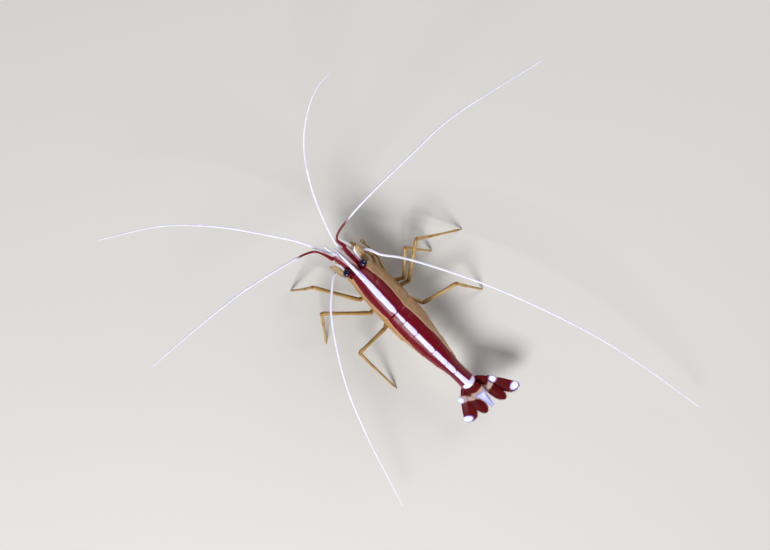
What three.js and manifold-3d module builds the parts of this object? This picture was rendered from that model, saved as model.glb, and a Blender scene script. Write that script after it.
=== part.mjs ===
// A cleaner shrimp (Lysmata amboinensis) at life size, standing still, in millimetres.
// +X points out of its head, +Y to its left and +Z up. Its six rear walking feet stand on z = 0.
// While the parts are made, x = 0 is the rear edge of the carapace. At the end the whole animal
// is moved so that the middle of its footprint is the origin.

import * as THREE from 'three';
import { mergeVertices } from 'three/addons/utils/BufferGeometryUtils.js';
import Module from 'manifold-3d';

const wasm = await Module();
wasm.setup();

// The clear space between two neighbouring parts.
const GAP = 0.3;

// Carapace, from its rear edge to the eye sockets.
const BACK_HEIGHT = 15.2;
const CARAPACE_LENGTH = 13;
const CARAPACE_PITCH = THREE.MathUtils.degToRad(6);
const CARAPACE_CROWN = 0.25;
const CARAPACE_REAR_WIDTH = 4.45;
const CARAPACE_FRONT_WIDTH = 3.25;
const CARAPACE_REAR_DEPTH = 10;
const CARAPACE_FRONT_DEPTH = 6.6;
// The shells wrap this far round from the ridge to the hem, which takes this share of their section.
const SHELL_WRAP = THREE.MathUtils.degToRad(125);
const OVER_BACK = 0.7;
// The open underside of a shell is raised by this share of the shell's depth.
const CARAPACE_FLOOR_RISE = 0.28;
const RING_FLOOR_RISE = 0.34;

// Underside of the thorax, between the hems of the carapace.
const THORAX_REAR = -1.7;
const THORAX_FRONT = 10.2;
const THORAX_HALF_WIDTH = 2.75;
const THORAX_HEIGHT = 2.35;
const MOUTH = { place: [12.2, 0, 6.6], size: [1.5, 1.6, 0.9] };

// Rostrum, the toothed spike between the eyes.
const ROSTRUM_LENGTH = 8.6;
const ROSTRUM_HALF_WIDTH = 0.8;
const ROSTRUM_TIP_HALF_WIDTH = 0.26;
const ROSTRUM_DEPTH = 0.8;
const ROSTRUM_KEEL = 0.45;
const ROSTRUM_TOOTH = 0.28;
const ROSTRUM_TEETH = 6;

// Abdomen: the back is one arc. Widths are half widths, and depths run from ridge to hem. Both
// are given at the joints between the rings of shell, from the carapace to the tail fan.
const BACK_RADIUS = 71;
const BACK_START = THREE.MathUtils.degToRad(-3);
const RING_LENGTHS = [2.9, 4.2, 6.4, 4.7, 3.5, 6.4];
const RING_WIDTHS = [4.42, 4.4, 4.2, 3.45, 2.7, 2, 1.7];
const RING_DEPTHS = [8.6, 8.6, 8.4, 7.2, 6, 4.9, 3.9];
// How far the side flap of each ring reaches past the ring, in front and behind.
const FLAP_FRONTS = [-0.2, 0.8, -1.2, -0.8, -0.8, -0.5];
const FLAP_REARS = [-1.2, 0.8, -0.5, -0.3, -0.2, -0.4];

// Tail fan, in a plane of its own that starts at the end of the back.
const FAN_SLOPE = THREE.MathUtils.degToRad(11);
const TELSON = { length: 8.5, rootHalfWidth: 1.3, tipHalfWidth: 0.5, rootThickness: 1, height: -0.95 };
const EXOPOD = { start: 3, side: 3.5, height: -2.9, angle: 28.5, swing: 0, length: 8.1, halfWidth: 1.9 };
const ENDOPOD = { start: 2.9, side: 2.3, height: -2, angle: 5, swing: 4, length: 7.4, halfWidth: 1.5 };
const UROPOD_BASE = { start: GAP, side: 1.5, height: -2.45, angle: 42, swing: 0, length: 2.8, halfWidth: 1.1 };
// The fan is rolled so that its right side is the higher one.
const FAN_ROLL = THREE.MathUtils.degToRad(7.5);
const BLADE_THICKNESS = 0.6;

// Head.
const EYE_RADIUS = 0.95;
// The left eye looks a little further forward than the right one.
const EYES = { left: [14.6, 2.15, 12.5], right: [13.9, -2.4, 12.5] };
const EYESTALK_ROOTS = { left: [13, 1.2, 12.2], right: [12.8, -1.4, 12.2] };
const EYESTALK_RADIUS = 0.52;
// The left antennule is spread a little more than the right one.
const ANTENNULE_JOINTS = {
  left: [[13.5, 1, 10.9], [16.5, 1.35, 11.6], [18.2, 1.6, 12], [19.6, 1.8, 12.4]],
  right: [[13.5, -1.05, 10.9], [16.6, -1.25, 11.6], [18.4, -1.35, 12], [19.8, -1.4, 12.4]],
};
const ANTENNULE_RADII = [0.72, 0.68, 0.62, 0.66];
const ANTENNA_JOINTS = [[13.2, 2.75, 8.9], [14.3, 3.1, 9.2], [15.2, 3.5, 9.6]];
const ANTENNA_RADII = [0.75, 0.68, 0.55];
const ANTENNA_SCALE = { x: 13.8, y: 3.05, z: 10.95, length: 5, halfWidth: 1.15, rise: 4, splay: 6 };

// Feelers. Each runs from its stem through a few turning points to its tip.
const FEELERS = {
  antennule_inner_flagellum_right: {
    thick: 0.34,
    route: [[20.2, -0.8, 12.4], [24, -1.6, 14.4], [32, -4.5, 16.9], [39.3, -8, 19.1], [46.6, -12.9, 21.4],
      [52, -18.8, 23.5], [55.2, -24.5, 25], [56.1, -29.3, 26]],
  },
  antennule_outer_flagellum_right: {
    thick: 0.4,
    route: [[20.3, -1.95, 12.8], [22.8, -2, 14.2], [23.9, -3.2, 14.7], [25.1, -7.1, 15.5],
      [26.4, -14.2, 17], [28, -30.2, 19.9], [28.7, -41, 21.5], [25.5, -65.7, 24]],
  },
  antennule_inner_flagellum_left: {
    thick: 0.34,
    route: [[20, 1.15, 12.2], [22.8, 2.5, 12.9], [29.1, 5, 14.9], [36.5, 9.2, 17.2], [43.3, 13.6, 18.8],
      [49.5, 18.6, 20.2], [54.9, 24.2, 21.4], [62.3, 36.2, 23]],
  },
  antennule_outer_flagellum_left: {
    thick: 0.4,
    route: [[20, 2.35, 12.9], [22.3, 2.8, 13.9], [24.2, 3.7, 14.4], [25.3, 5.3, 14.9], [26.2, 7.7, 15.5],
      [29.3, 21.2, 17.9], [30.3, 31.3, 19.1], [30.8, 49.5, 20]],
  },
  antenna_flagellum_right: {
    thick: 0.36,
    route: [[15.5, -3.95, 9.8], [15, -5.1, 10.5], [12.4, -6.4, 11.1], [8.9, -9.5, 12], [2.2, -13.9, 13.1],
      [-12.8, -21.8, 14.2], [-35.9, -30.2, 12.9], [-52.5, -33.9, 10.5], [-73, -36.9, 6]],
  },
  antenna_flagellum_left: {
    thick: 0.36,
    route: [[15.5, 3.95, 9.8], [15.8, 5, 10.6], [13.3, 8.2, 12.2], [9.4, 11.9, 13.2], [-4.5, 20.3, 14.2],
      [-18.8, 26.2, 12.5], [-42.2, 34.2, 6]],
  },
};
const FEELER_TIP = 0.26;
const FEELER_SIDES = 6;
const FEELER_STEPS = 20;

// Limbs. Every leg grows down out of the thorax, then out under the hem of the carapace.
const HIP_HEIGHT = 4.75;
const LIMB_SIDES = 8;
const FOOT_RADIUS = 0.3;
const SHIN_BOW = 0.4;
const BASE_DROP = 0.9;
const WALKING_LEG_RADII = [0.8, 0.62, 0.52, 0.55, 0.42, 0.36, FOOT_RADIUS];
const WALKING_LEGS = {
  leg_3_left: { hip: [3.4, 1.8], elbow: [5.4, 6, 4.9], knee: [16.1, 11.4, 7.6], foot: [17, 17.5, 0] },
  leg_4_left: { hip: [1.2, 1.8], elbow: [1, 6.2, 5.1], knee: [10, 14.2, 8.4], foot: [0.8, 20.5, 0] },
  leg_5_left: { hip: [-1, 1.8], elbow: [-4.3, 6.2, 5.1], knee: [-3.9, 14.4, 8], foot: [-19.8, 15.7, 0] },
  leg_3_right: { hip: [3.4, -1.8], elbow: [2.4, -5.8, 5.4], knee: [8.5, -11.3, 7.4], foot: [1.2, -14.3, 0] },
  leg_4_right: { hip: [1.2, -1.8], elbow: [0.9, -6.1, 4.8], knee: [8.6, -14.8, 8.4], foot: [0.4, -23.3, 0] },
  leg_5_right: { hip: [-1, -1.8], elbow: [-5.8, -4.9, 4.9], knee: [-6.5, -14.4, 8], foot: [-14.7, -16.9, 0] },
};
// The feeding legs and jaw feet are folded forward under the head. Their joints are on the left side.
const FEEDING_LEGS = {
  leg_1: {
    joints: [[7.6, 1.8, HIP_HEIGHT], [8, 2.5, 3.9], [11.6, 3.9, 5.1], [14.2, 3.2, 4.4], [16, 2.5, 4]],
    radii: [0.7, 0.6, 0.55, 0.5, 0.6],
    finger: 2,
    fingerRadius: 0.34,
  },
  leg_2: {
    joints: [[5.6, 1.8, HIP_HEIGHT], [5.9, 3, 3.8], [10, 4.4, 4.2], [13.2, 4.2, 2.6], [14.8, 4.1, 2.3]],
    radii: [0.7, 0.55, 0.42, 0.34, 0.42],
    finger: 1.4,
    fingerRadius: 0.27,
  },
};
const JAW_FOOT = {
  joints: [[9.6, 1.15, HIP_HEIGHT], [10.2, 1.3, 4], [14.2, 1.7, 3.9], [18.2, 2.1, 7], [22, 2.35, 8.9]],
  radii: [0.6, 0.55, 0.5, 0.42, 0.27],
};
const SWIMMERET_LENGTHS = [4, 5, 5.2, 4.6, 3.8];
const SWIMMERET_LEAN = THREE.MathUtils.degToRad(24);

const animal = new THREE.Group();

function addPart(name, geometry, material) {
  const mesh = new THREE.Mesh(geometry, material);
  mesh.name = name;
  animal.add(mesh);
  return mesh;
}

function finish(color, roughness) {
  return new THREE.MeshStandardMaterial({ color, roughness, metalness: 0 });
}

const redShell = () => finish(0x7a0018, 0.35);
const tailShell = () => finish(0x5a0008, 0.35);
const amberShell = () => finish(0xc8a06e, 0.4);
const whiteFeeler = () => finish(0xe1e1fa, 0.5);
const eyeGlass = () => finish(0x0f0f2d, 0.1);

// Turns a closed surface so that its faces point outwards.
function facingOut(geometry) {
  const index = geometry.index;
  const position = geometry.attributes.position;
  const [a, b, c] = [new THREE.Vector3(), new THREE.Vector3(), new THREE.Vector3()];
  let volume = 0;
  for (let i = 0; i < index.count; i += 3) {
    a.fromBufferAttribute(position, index.getX(i));
    b.fromBufferAttribute(position, index.getX(i + 1));
    c.fromBufferAttribute(position, index.getX(i + 2));
    volume += a.dot(b.cross(c));
  }
  if (volume < 0) {
    for (let i = 0; i < index.count; i += 3) {
      const first = index.getX(i);
      index.setX(i, index.getX(i + 1));
      index.setX(i + 1, first);
    }
  }
  return geometry;
}

// A closed skin through rings of points: ringPoint(ring, turn) is a point on ring number `ring`,
// `turn` of the way round it. Both ends are closed by a fan of faces.
function loft(sides, rings, ringPoint) {
  const geometry = new THREE.CylinderGeometry(1, 1, 1, sides, rings);
  geometry.deleteAttribute('normal');
  geometry.deleteAttribute('uv');
  const position = geometry.attributes.position;
  for (let i = 0; i < position.count; i++) {
    const [x, y, z] = [position.getX(i), position.getY(i), position.getZ(i)];
    const ring = Math.round((0.5 - y) * rings);
    const place = new THREE.Vector3();
    if (Math.hypot(x, z) > 0.5) {
      const step = Math.round((Math.atan2(x, z) / (2 * Math.PI) + 1) * sides) % sides;
      place.copy(ringPoint(ring, step / sides));
    } else {
      for (let step = 0; step < sides; step++) {
        place.addScaledVector(ringPoint(ring, step / sides), 1 / sides);
      }
    }
    position.setXYZ(i, place.x, place.y, place.z);
  }
  return facingOut(mergeVertices(geometry));
}

// A tube of round sections along a path of points, with one radius for each point. A flat end is
// cut level, as where a foot stands on the floor.
function tube(path, radii, sides, flatStart = false, flatEnd = false) {
  const last = path.length - 1;
  const headings = path.map((point, i) => {
    const before = path[Math.max(i - 1, 0)];
    const after = path[Math.min(i + 1, last)];
    const arriving = point.clone().sub(before).normalize();
    const leaving = after.clone().sub(point).normalize();
    return arriving.add(leaving).normalize();
  });
  const frames = [];
  let across = new THREE.Vector3(0, 0, 1).cross(headings[0]);
  if (across.length() < 0.2) across = new THREE.Vector3(1, 0, 0).cross(headings[0]);
  for (const heading of headings) {
    across = across.clone().addScaledVector(heading, -across.dot(heading)).normalize();
    frames.push([across, heading.clone().cross(across)]);
  }
  return loft(sides, last, (ring, turn) => {
    const angle = turn * 2 * Math.PI;
    const point = path[ring].clone();
    point.addScaledVector(frames[ring][0], radii[ring] * Math.cos(angle));
    point.addScaledVector(frames[ring][1], radii[ring] * Math.sin(angle));
    if ((ring === 0 && flatStart) || (ring === last && flatEnd)) {
      const heading = headings[ring];
      point.addScaledVector(heading, (path[ring].z - point.z) / heading.z);
    }
    return point;
  });
}

// A jointed limb: between two joints it is thinner than at the joints themselves.
function limb(joints, radii, sides, flatStart, flatEnd) {
  const path = [joints[0]];
  const thickness = [radii[0]];
  for (let i = 1; i < joints.length; i++) {
    for (const [along, slim] of [[0.2, 0.86], [0.8, 0.86], [1, 1]]) {
      path.push(joints[i - 1].clone().lerp(joints[i], along));
      thickness.push(THREE.MathUtils.lerp(radii[i - 1], radii[i], along) * slim);
    }
  }
  return tube(path, thickness, sides, flatStart, flatEnd);
}

// A flat blade from the origin along +X, broadest a little past its middle, with a round tip.
function blade(length, halfWidth, thickness, rootWidth, sides, rings) {
  return loft(sides, rings, (ring, turn) => {
    const along = ring / rings;
    const swell = Math.sin(Math.PI * (0.12 + 0.8 * along)) ** 0.7;
    const width = THREE.MathUtils.lerp(rootWidth, halfWidth * swell, Math.min(1, along * 2.2));
    const angle = turn * 2 * Math.PI;
    const round = along > 0.99 ? 0.85 : 1;
    return new THREE.Vector3(along * length, width * Math.cos(angle),
      0.5 * thickness * round * Math.sin(angle));
  });
}

function solid(geometry) {
  const mesh = new wasm.Mesh({
    numProp: 3,
    vertProperties: geometry.attributes.position.array,
    triVerts: new Uint32Array(geometry.index.array),
  });
  return new wasm.Manifold(mesh);
}

function joined(first, ...others) {
  const whole = others.reduce((body, other) => body.add(solid(other)), solid(first));
  const mesh = whole.getMesh();
  const geometry = new THREE.BufferGeometry();
  geometry.setAttribute('position', new THREE.BufferAttribute(mesh.vertProperties, 3));
  geometry.setIndex(new THREE.BufferAttribute(mesh.triVerts, 1));
  return geometry;
}

function points(list, side = 1) {
  return list.map(([x, y, z]) => new THREE.Vector3(x, y * side, z));
}

// One section of an arched shell. From 0 to 0.7 the turn runs over the back from one hem to the
// other, and from there to 1 it comes back under the raised floor of the shell. The result is how
// far the point lies to the side and how far below the ridge, and how near it is to the hem.
function archPoint(turn, halfWidth, depth, floorRise) {
  if (turn <= OVER_BACK + 1e-6) {
    const wrap = (2 * turn) / OVER_BACK - 1;
    const angle = Math.abs(wrap) * SHELL_WRAP;
    const fall = (1 - Math.cos(angle)) / (1 - Math.cos(SHELL_WRAP));
    return { side: Math.sign(wrap) * halfWidth * Math.sin(angle), down: depth * fall, wrap };
  }
  const back = 1 - (2 * (turn - OVER_BACK)) / (1 - OVER_BACK);
  const down = depth * (1 - floorRise * (1 - Math.abs(back) ** 1.5));
  return { side: back * halfWidth * Math.sin(SHELL_WRAP) * 0.95, down, wrap: Math.sign(back) * 0.95 };
}

// How much of a flap's reach a point has: none on the back, all of it at the hem.
function flapShare(wrap) {
  return THREE.MathUtils.smoothstep(Math.abs(wrap), 0.35, 1);
}

// The carapace's ridge, width and depth at a share of its length, from its rear edge forwards.
function carapaceSize(share) {
  return {
    x: share * CARAPACE_LENGTH,
    ridge: BACK_HEIGHT - share * CARAPACE_LENGTH * Math.sin(CARAPACE_PITCH)
      + CARAPACE_CROWN * Math.sin(Math.PI * share),
    width: THREE.MathUtils.lerp(CARAPACE_REAR_WIDTH, CARAPACE_FRONT_WIDTH, share ** 2.2),
    depth: THREE.MathUtils.lerp(CARAPACE_REAR_DEPTH, CARAPACE_FRONT_DEPTH, share ** 3),
  };
}

function carapace() {
  const rings = 11;
  return loft(20, rings, (ring, turn) => {
    const share = ring / rings;
    const size = carapaceSize(share);
    const { side, down, wrap } = archPoint(turn, size.width, size.depth, CARAPACE_FLOOR_RISE);
    const socket = Math.exp(-(((Math.abs(wrap) - 0.3) / 0.16) ** 2));
    const frontEdge = 0.35 - 1.3 * socket - 1.2 * flapShare(wrap);
    const x = size.x + GAP / 2 + frontEdge * Math.max(0, share - 0.8) * 5;
    return new THREE.Vector3(x, side, size.ridge - down);
  });
}

// The rostrum's top edge is a saw of teeth that lean forwards, and its keel is deepest past the middle.
function rostrum() {
  const rings = 2 * ROSTRUM_TEETH;
  const front = carapaceSize(1);
  return loft(8, rings, (ring, turn) => {
    const along = ring / rings;
    const angle = turn * 2 * Math.PI;
    const width = THREE.MathUtils.lerp(ROSTRUM_HALF_WIDTH, ROSTRUM_TIP_HALF_WIDTH, along ** 0.7);
    const tooth = ring % 2 === 1 ? ROSTRUM_TOOTH : 0;
    const keel = ROSTRUM_KEEL * Math.sin(Math.PI * along) * along;
    const depth = THREE.MathUtils.lerp(ROSTRUM_DEPTH, 2 * ROSTRUM_TIP_HALF_WIDTH, along);
    const rise = Math.cos(angle) > 0 ? Math.cos(angle) * tooth : Math.cos(angle) * keel;
    const height = (Math.cos(angle) * depth) / 2 + rise;
    const x = front.x + 0.35 + GAP * 1.5 + along * ROSTRUM_LENGTH;
    return new THREE.Vector3(x, width * Math.sin(angle), front.ridge - ROSTRUM_DEPTH / 2 + height);
  });
}

// The underside of the thorax fills the space between the carapace's hems, and the legs grow from it.
function thoraxUnderside() {
  const rings = 6;
  return loft(12, rings, (ring, turn) => {
    const along = ring / rings;
    const taper = Math.sin(Math.PI * (0.16 + 0.68 * along)) ** 0.6;
    const angle = turn * 2 * Math.PI;
    const up = Math.max(0, Math.sin(angle)) ** 1.3;
    const x = THREE.MathUtils.lerp(THORAX_REAR, THORAX_FRONT, along);
    const y = THORAX_HALF_WIDTH * taper * Math.cos(angle) * (Math.sin(angle) < -0.1 ? 0.9 : 1);
    return new THREE.Vector3(x, y, HIP_HEIGHT + GAP + THORAX_HEIGHT * taper * up);
  });
}

function mouthparts() {
  const geometry = new THREE.SphereGeometry(1, 12, 8);
  geometry.scale(...MOUTH.size);
  return geometry;
}

// A point on or under the back, `run` millimetres behind the carapace.
function backPoint(run, side, down) {
  const slope = BACK_START + run / BACK_RADIUS;
  const ridgeX = -BACK_RADIUS * (Math.sin(slope) - Math.sin(BACK_START));
  const ridgeZ = BACK_HEIGHT + BACK_RADIUS * (Math.cos(slope) - Math.cos(BACK_START));
  return new THREE.Vector3(ridgeX + down * Math.sin(slope), side, ridgeZ - down * Math.cos(slope));
}

function ringStart(number) {
  return RING_LENGTHS.slice(0, number).reduce((sum, length) => sum + length, 0);
}

function abdomenRing(number) {
  const rings = 3;
  const start = ringStart(number) + GAP / 2;
  const length = RING_LENGTHS[number] - GAP;
  return loft(20, rings, (ring, turn) => {
    const along = ring / rings;
    const width = THREE.MathUtils.lerp(RING_WIDTHS[number], RING_WIDTHS[number + 1], along);
    const depth = THREE.MathUtils.lerp(RING_DEPTHS[number], RING_DEPTHS[number + 1], along);
    const { side, down, wrap } = archPoint(turn, width, depth, RING_FLOOR_RISE);
    const reach = (1 - along) * -FLAP_FRONTS[number] + along * FLAP_REARS[number];
    return backPoint(start + along * length + reach * flapShare(wrap), side, down);
  });
}

// The fan's frame: +X runs back along the fan from the end of the back, +Y is the animal's right
// and +Z is up.
function fanFrame() {
  const frame = new THREE.Group();
  frame.position.copy(backPoint(ringStart(RING_LENGTHS.length), 0, 0));
  frame.rotation.set(FAN_ROLL, FAN_SLOPE, Math.PI, 'ZYX');
  animal.add(frame);
  return frame;
}

function telson() {
  const rings = 6;
  return loft(10, rings, (ring, turn) => {
    const along = ring / rings;
    const angle = turn * 2 * Math.PI;
    const width = THREE.MathUtils.lerp(TELSON.rootHalfWidth, TELSON.tipHalfWidth, along ** 1.3);
    const thickness = THREE.MathUtils.lerp(TELSON.rootThickness, BLADE_THICKNESS, along);
    return new THREE.Vector3(GAP + along * TELSON.length, width * Math.cos(angle),
      TELSON.height + 0.5 * thickness * Math.sin(angle));
  });
}

function addTailFan() {
  const fan = fanFrame();
  fan.add(addPart('telson', telson(), tailShell()));
  for (const [name, side] of [['left', -1], ['right', 1]]) {
    for (const [kind, size] of [['base', UROPOD_BASE], ['exopod', EXOPOD], ['endopod', ENDOPOD]]) {
      const thickness = kind === 'base' ? 1.3 : BLADE_THICKNESS;
      const root = kind === 'base' ? 0.7 : 0.45;
      const shape = blade(size.length, size.halfWidth, thickness, root, 10, kind === 'base' ? 3 : 7);
      const lobe = addPart(`uropod_${kind}_${name}`, shape, tailShell());
      lobe.position.set(size.start, side * size.side, size.height);
      lobe.rotation.z = THREE.MathUtils.degToRad(side * size.angle + size.swing);
      fan.add(lobe);
    }
  }
}

function addBody() {
  addPart('carapace', carapace(), redShell());
  addPart('rostrum', rostrum(), redShell());
  addPart('thorax_underside', thoraxUnderside(), amberShell());
  const mouth = addPart('mouthparts', mouthparts(), amberShell());
  mouth.position.set(...MOUTH.place);
  for (let number = 0; number < RING_LENGTHS.length; number++) {
    addPart(`abdomen_${number + 1}`, abdomenRing(number), redShell());
  }
}

function addHead(name, side) {
  const eyeCentre = new THREE.Vector3(...EYES[name]);
  const eye = addPart(`eye_${name}`, new THREE.SphereGeometry(EYE_RADIUS, 12, 8), eyeGlass());
  eye.position.copy(eyeCentre);
  const root = new THREE.Vector3(...EYESTALK_ROOTS[name]);
  const reach = eyeCentre.distanceTo(root) - EYE_RADIUS - GAP;
  const end = root.clone().add(eyeCentre.clone().sub(root).setLength(reach));
  addPart(`eyestalk_${name}`, tube([root, end], [EYESTALK_RADIUS, EYESTALK_RADIUS], 8), redShell());
  const antennule = limb(points(ANTENNULE_JOINTS[name]), ANTENNULE_RADII, LIMB_SIDES);
  addPart(`antennule_stem_${name}`, antennule, redShell());
  const antenna = limb(points(ANTENNA_JOINTS, side), ANTENNA_RADII, LIMB_SIDES);
  addPart(`antenna_stem_${name}`, antenna, amberShell());
  const scaleShape = blade(ANTENNA_SCALE.length, ANTENNA_SCALE.halfWidth, BLADE_THICKNESS, 0.6, 8, 6);
  const scale = addPart(`antenna_scale_${name}`, scaleShape, amberShell());
  scale.position.set(ANTENNA_SCALE.x, side * ANTENNA_SCALE.y, ANTENNA_SCALE.z);
  scale.rotation.set(0, -THREE.MathUtils.degToRad(ANTENNA_SCALE.rise),
    side * THREE.MathUtils.degToRad(ANTENNA_SCALE.splay), 'ZYX');
}

function addFeeler(name, { thick, route }) {
  const curve = new THREE.CatmullRomCurve3(points(route), false, 'centripetal');
  const path = [];
  const radii = [];
  for (let step = 0; step <= FEELER_STEPS; step++) {
    const along = (step / FEELER_STEPS) ** 1.5;
    path.push(curve.getPointAt(along));
    radii.push(THREE.MathUtils.lerp(thick, FEELER_TIP, Math.min(1, 2 * along) ** 0.7));
  }
  addPart(name, tube(path, radii, FEELER_SIDES), whiteFeeler());
}

// A walking leg: hip, short base, upper leg out to the knee, then down in three lengths to a foot
// that is cut off level with the floor.
function addWalkingLeg(name, { hip, elbow, knee, foot }) {
  const [hipPoint, elbowPoint, kneePoint, footPoint] = points([[...hip, HIP_HEIGHT], elbow, knee, foot]);
  const base = hipPoint.clone().lerp(elbowPoint, 0.36).setZ(HIP_HEIGHT - BASE_DROP);
  const shin = kneePoint.clone().lerp(footPoint, 0.3);
  shin.z += SHIN_BOW;
  const toe = kneePoint.clone().lerp(footPoint, 0.92);
  toe.z += SHIN_BOW / 2;
  const joints = [hipPoint, base, elbowPoint, kneePoint, shin, toe, footPoint];
  addPart(name, limb(joints, WALKING_LEG_RADII, LIMB_SIDES, true, true), amberShell());
}

// A feeding leg ends in a small pincer: a fixed finger and, beside it, a moving one.
function addFeedingLeg(name, side, { joints, radii, finger, fingerRadius }) {
  const path = points(joints, side);
  const wrist = path.at(-1);
  const heading = wrist.clone().sub(path.at(-2)).normalize();
  const fingers = [0.3, -0.3].map((offset) => {
    const root = wrist.clone().addScaledVector(heading, -0.3);
    root.y += offset * 0.8;
    const middle = wrist.clone().addScaledVector(heading, finger * 0.5);
    middle.y += offset * 1.6;
    const tip = wrist.clone().addScaledVector(heading, finger);
    tip.y += offset * 1.1;
    return tube([root, middle, tip], [fingerRadius, fingerRadius, fingerRadius * 0.8], 6);
  });
  const leg = limb(path, radii, LIMB_SIDES, true, false);
  addPart(name, joined(leg, ...fingers), amberShell());
}

function addSwimmerets() {
  SWIMMERET_LENGTHS.forEach((length, number) => {
    const run = ringStart(number) + RING_LENGTHS[number] * 0.66;
    const depth = (RING_DEPTHS[number] + RING_DEPTHS[number + 1]) / 2;
    const halfWidth = (RING_WIDTHS[number] + RING_WIDTHS[number + 1]) / 2;
    for (const [name, side] of [['left', 1], ['right', -1]]) {
      const shape = blade(length, 0.2 * halfWidth + 0.2, BLADE_THICKNESS, 0.4, 6, 4);
      const swimmeret = addPart(`swimmeret_${number + 1}_${name}`, shape, amberShell());
      swimmeret.position.copy(backPoint(run, side * 0.34 * halfWidth, depth * 0.8 + GAP));
      swimmeret.rotation.y = Math.PI / 2 + SWIMMERET_LEAN;
    }
  });
}

addBody();
addTailFan();
for (const [name, side] of [['left', 1], ['right', -1]]) {
  addHead(name, side);
  const jawFoot = limb(points(JAW_FOOT.joints, side), JAW_FOOT.radii, LIMB_SIDES, true, false);
  addPart(`jaw_foot_${name}`, jawFoot, amberShell());
  for (const [leg, shape] of Object.entries(FEEDING_LEGS)) addFeedingLeg(`${leg}_${name}`, side, shape);
}
for (const [name, feeler] of Object.entries(FEELERS)) addFeeler(name, feeler);
for (const [name, leg] of Object.entries(WALKING_LEGS)) addWalkingLeg(name, leg);
addSwimmerets();

// Centre the footprint on the origin. The feet already stand on z = 0.
animal.updateMatrixWorld(true);
const footprint = new THREE.Box3().setFromObject(animal, true);
const middle = footprint.getCenter(new THREE.Vector3());
animal.position.set(-middle.x, -middle.y, 0);

export default animal;
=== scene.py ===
import math
import random

import bpy
from mathutils import Matrix, Vector


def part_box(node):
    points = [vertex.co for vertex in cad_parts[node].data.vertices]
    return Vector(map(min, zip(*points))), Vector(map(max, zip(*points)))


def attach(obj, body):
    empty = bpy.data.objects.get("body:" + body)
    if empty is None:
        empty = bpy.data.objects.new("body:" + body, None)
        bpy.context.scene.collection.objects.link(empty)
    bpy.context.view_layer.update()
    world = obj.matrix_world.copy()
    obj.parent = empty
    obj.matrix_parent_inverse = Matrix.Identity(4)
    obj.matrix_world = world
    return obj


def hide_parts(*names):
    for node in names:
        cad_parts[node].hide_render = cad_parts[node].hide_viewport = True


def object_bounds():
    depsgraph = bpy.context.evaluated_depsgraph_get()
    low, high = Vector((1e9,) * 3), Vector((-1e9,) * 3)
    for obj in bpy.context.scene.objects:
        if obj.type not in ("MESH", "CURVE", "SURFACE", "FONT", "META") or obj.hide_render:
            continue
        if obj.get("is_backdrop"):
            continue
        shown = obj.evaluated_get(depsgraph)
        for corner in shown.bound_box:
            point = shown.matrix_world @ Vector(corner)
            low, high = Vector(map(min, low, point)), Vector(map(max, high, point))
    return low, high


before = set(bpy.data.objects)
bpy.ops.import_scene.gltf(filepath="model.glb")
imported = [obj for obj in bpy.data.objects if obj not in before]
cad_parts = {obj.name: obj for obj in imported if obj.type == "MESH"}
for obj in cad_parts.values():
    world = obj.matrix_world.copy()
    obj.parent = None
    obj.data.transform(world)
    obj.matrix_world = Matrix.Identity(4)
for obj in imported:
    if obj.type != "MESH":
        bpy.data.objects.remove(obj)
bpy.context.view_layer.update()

# The animal's own frame. Its sizes are in millimetres: x = 0 is the rear edge of the carapace,
# +x points to the head, +y to its left and z = 0 is the floor. The CAD carapace says where it is.
MM = 0.001
SHELL_GAP = 0.15
carapace_low, carapace_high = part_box("carapace")
home = Vector((carapace_low.x - SHELL_GAP * MM, (carapace_low.y + carapace_high.y) / 2, 0))


def spot(x, y, z):
    return home + Vector((x, y, z)) * MM


# ---- Camera and stage ----
# The camera looks down on the animal from in front of its head and a little to its right.
CAMERA_PLACE = (152.92, -89.16, 488.25)
CAMERA_AZIMUTH = math.radians(59.57)
CAMERA_HEIGHT = math.radians(70.56)
CAMERA_ROLL = math.radians(168.02)
CAMERA_LENS = 100
SENSOR_WIDTH = 36
NEAREST_SEEN = 0.01
FARTHEST_SEEN = 20
camera_data = bpy.data.cameras.new("camera")
camera_data.lens = CAMERA_LENS
camera_data.sensor_width = SENSOR_WIDTH
camera_data.clip_start = NEAREST_SEEN
camera_data.clip_end = FARTHEST_SEEN
camera = bpy.data.objects.new("camera", camera_data)
bpy.context.scene.collection.objects.link(camera)
bpy.context.scene.camera = camera
backward = Vector((
    math.sin(CAMERA_AZIMUTH) * math.cos(CAMERA_HEIGHT),
    -math.cos(CAMERA_AZIMUTH) * math.cos(CAMERA_HEIGHT),
    math.sin(CAMERA_HEIGHT),
))
level = Vector((0, 0, 1)).cross(backward).normalized()
turned = Matrix.Rotation(CAMERA_ROLL, 3, backward)
rightward = turned @ level
upward = backward.cross(rightward)
camera.matrix_world = Matrix.Translation(spot(*CAMERA_PLACE)) @ Matrix(
    (rightward, upward, backward)
).transposed().to_4x4()


def paint(red, green, blue):
    """A colour given in 0 to 255 as seen on a screen, for a shader socket."""
    parts = [channel / 255 for channel in (red, green, blue)]
    return [c / 12.92 if c <= 0.04045 else ((c + 0.055) / 1.055) ** 2.4 for c in parts] + [1]


def place_node(tree, kind, settings=None, **inputs):
    """Adds a node to a tree. Each input is a value, or the output of another node. It is called by
    its name, or i0, i1 and so on where a node has several inputs of one name."""
    node = tree.nodes.new(kind)
    for key, value in (settings or {}).items():
        setattr(node, key, value)
    for key, value in inputs.items():
        number = key.removeprefix("i")
        socket = node.inputs[int(number) if number.isdigit() else key.replace("_", " ")]
        if isinstance(value, bpy.types.NodeSocket):
            tree.links.new(value, socket)
        else:
            socket.default_value = value
    return node


def new_finish(name):
    """An empty material: its tree and its Principled shader."""
    finish = bpy.data.materials.new(name)
    finish.use_nodes = True
    return finish, finish.node_tree, finish.node_tree.nodes["Principled BSDF"]


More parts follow.
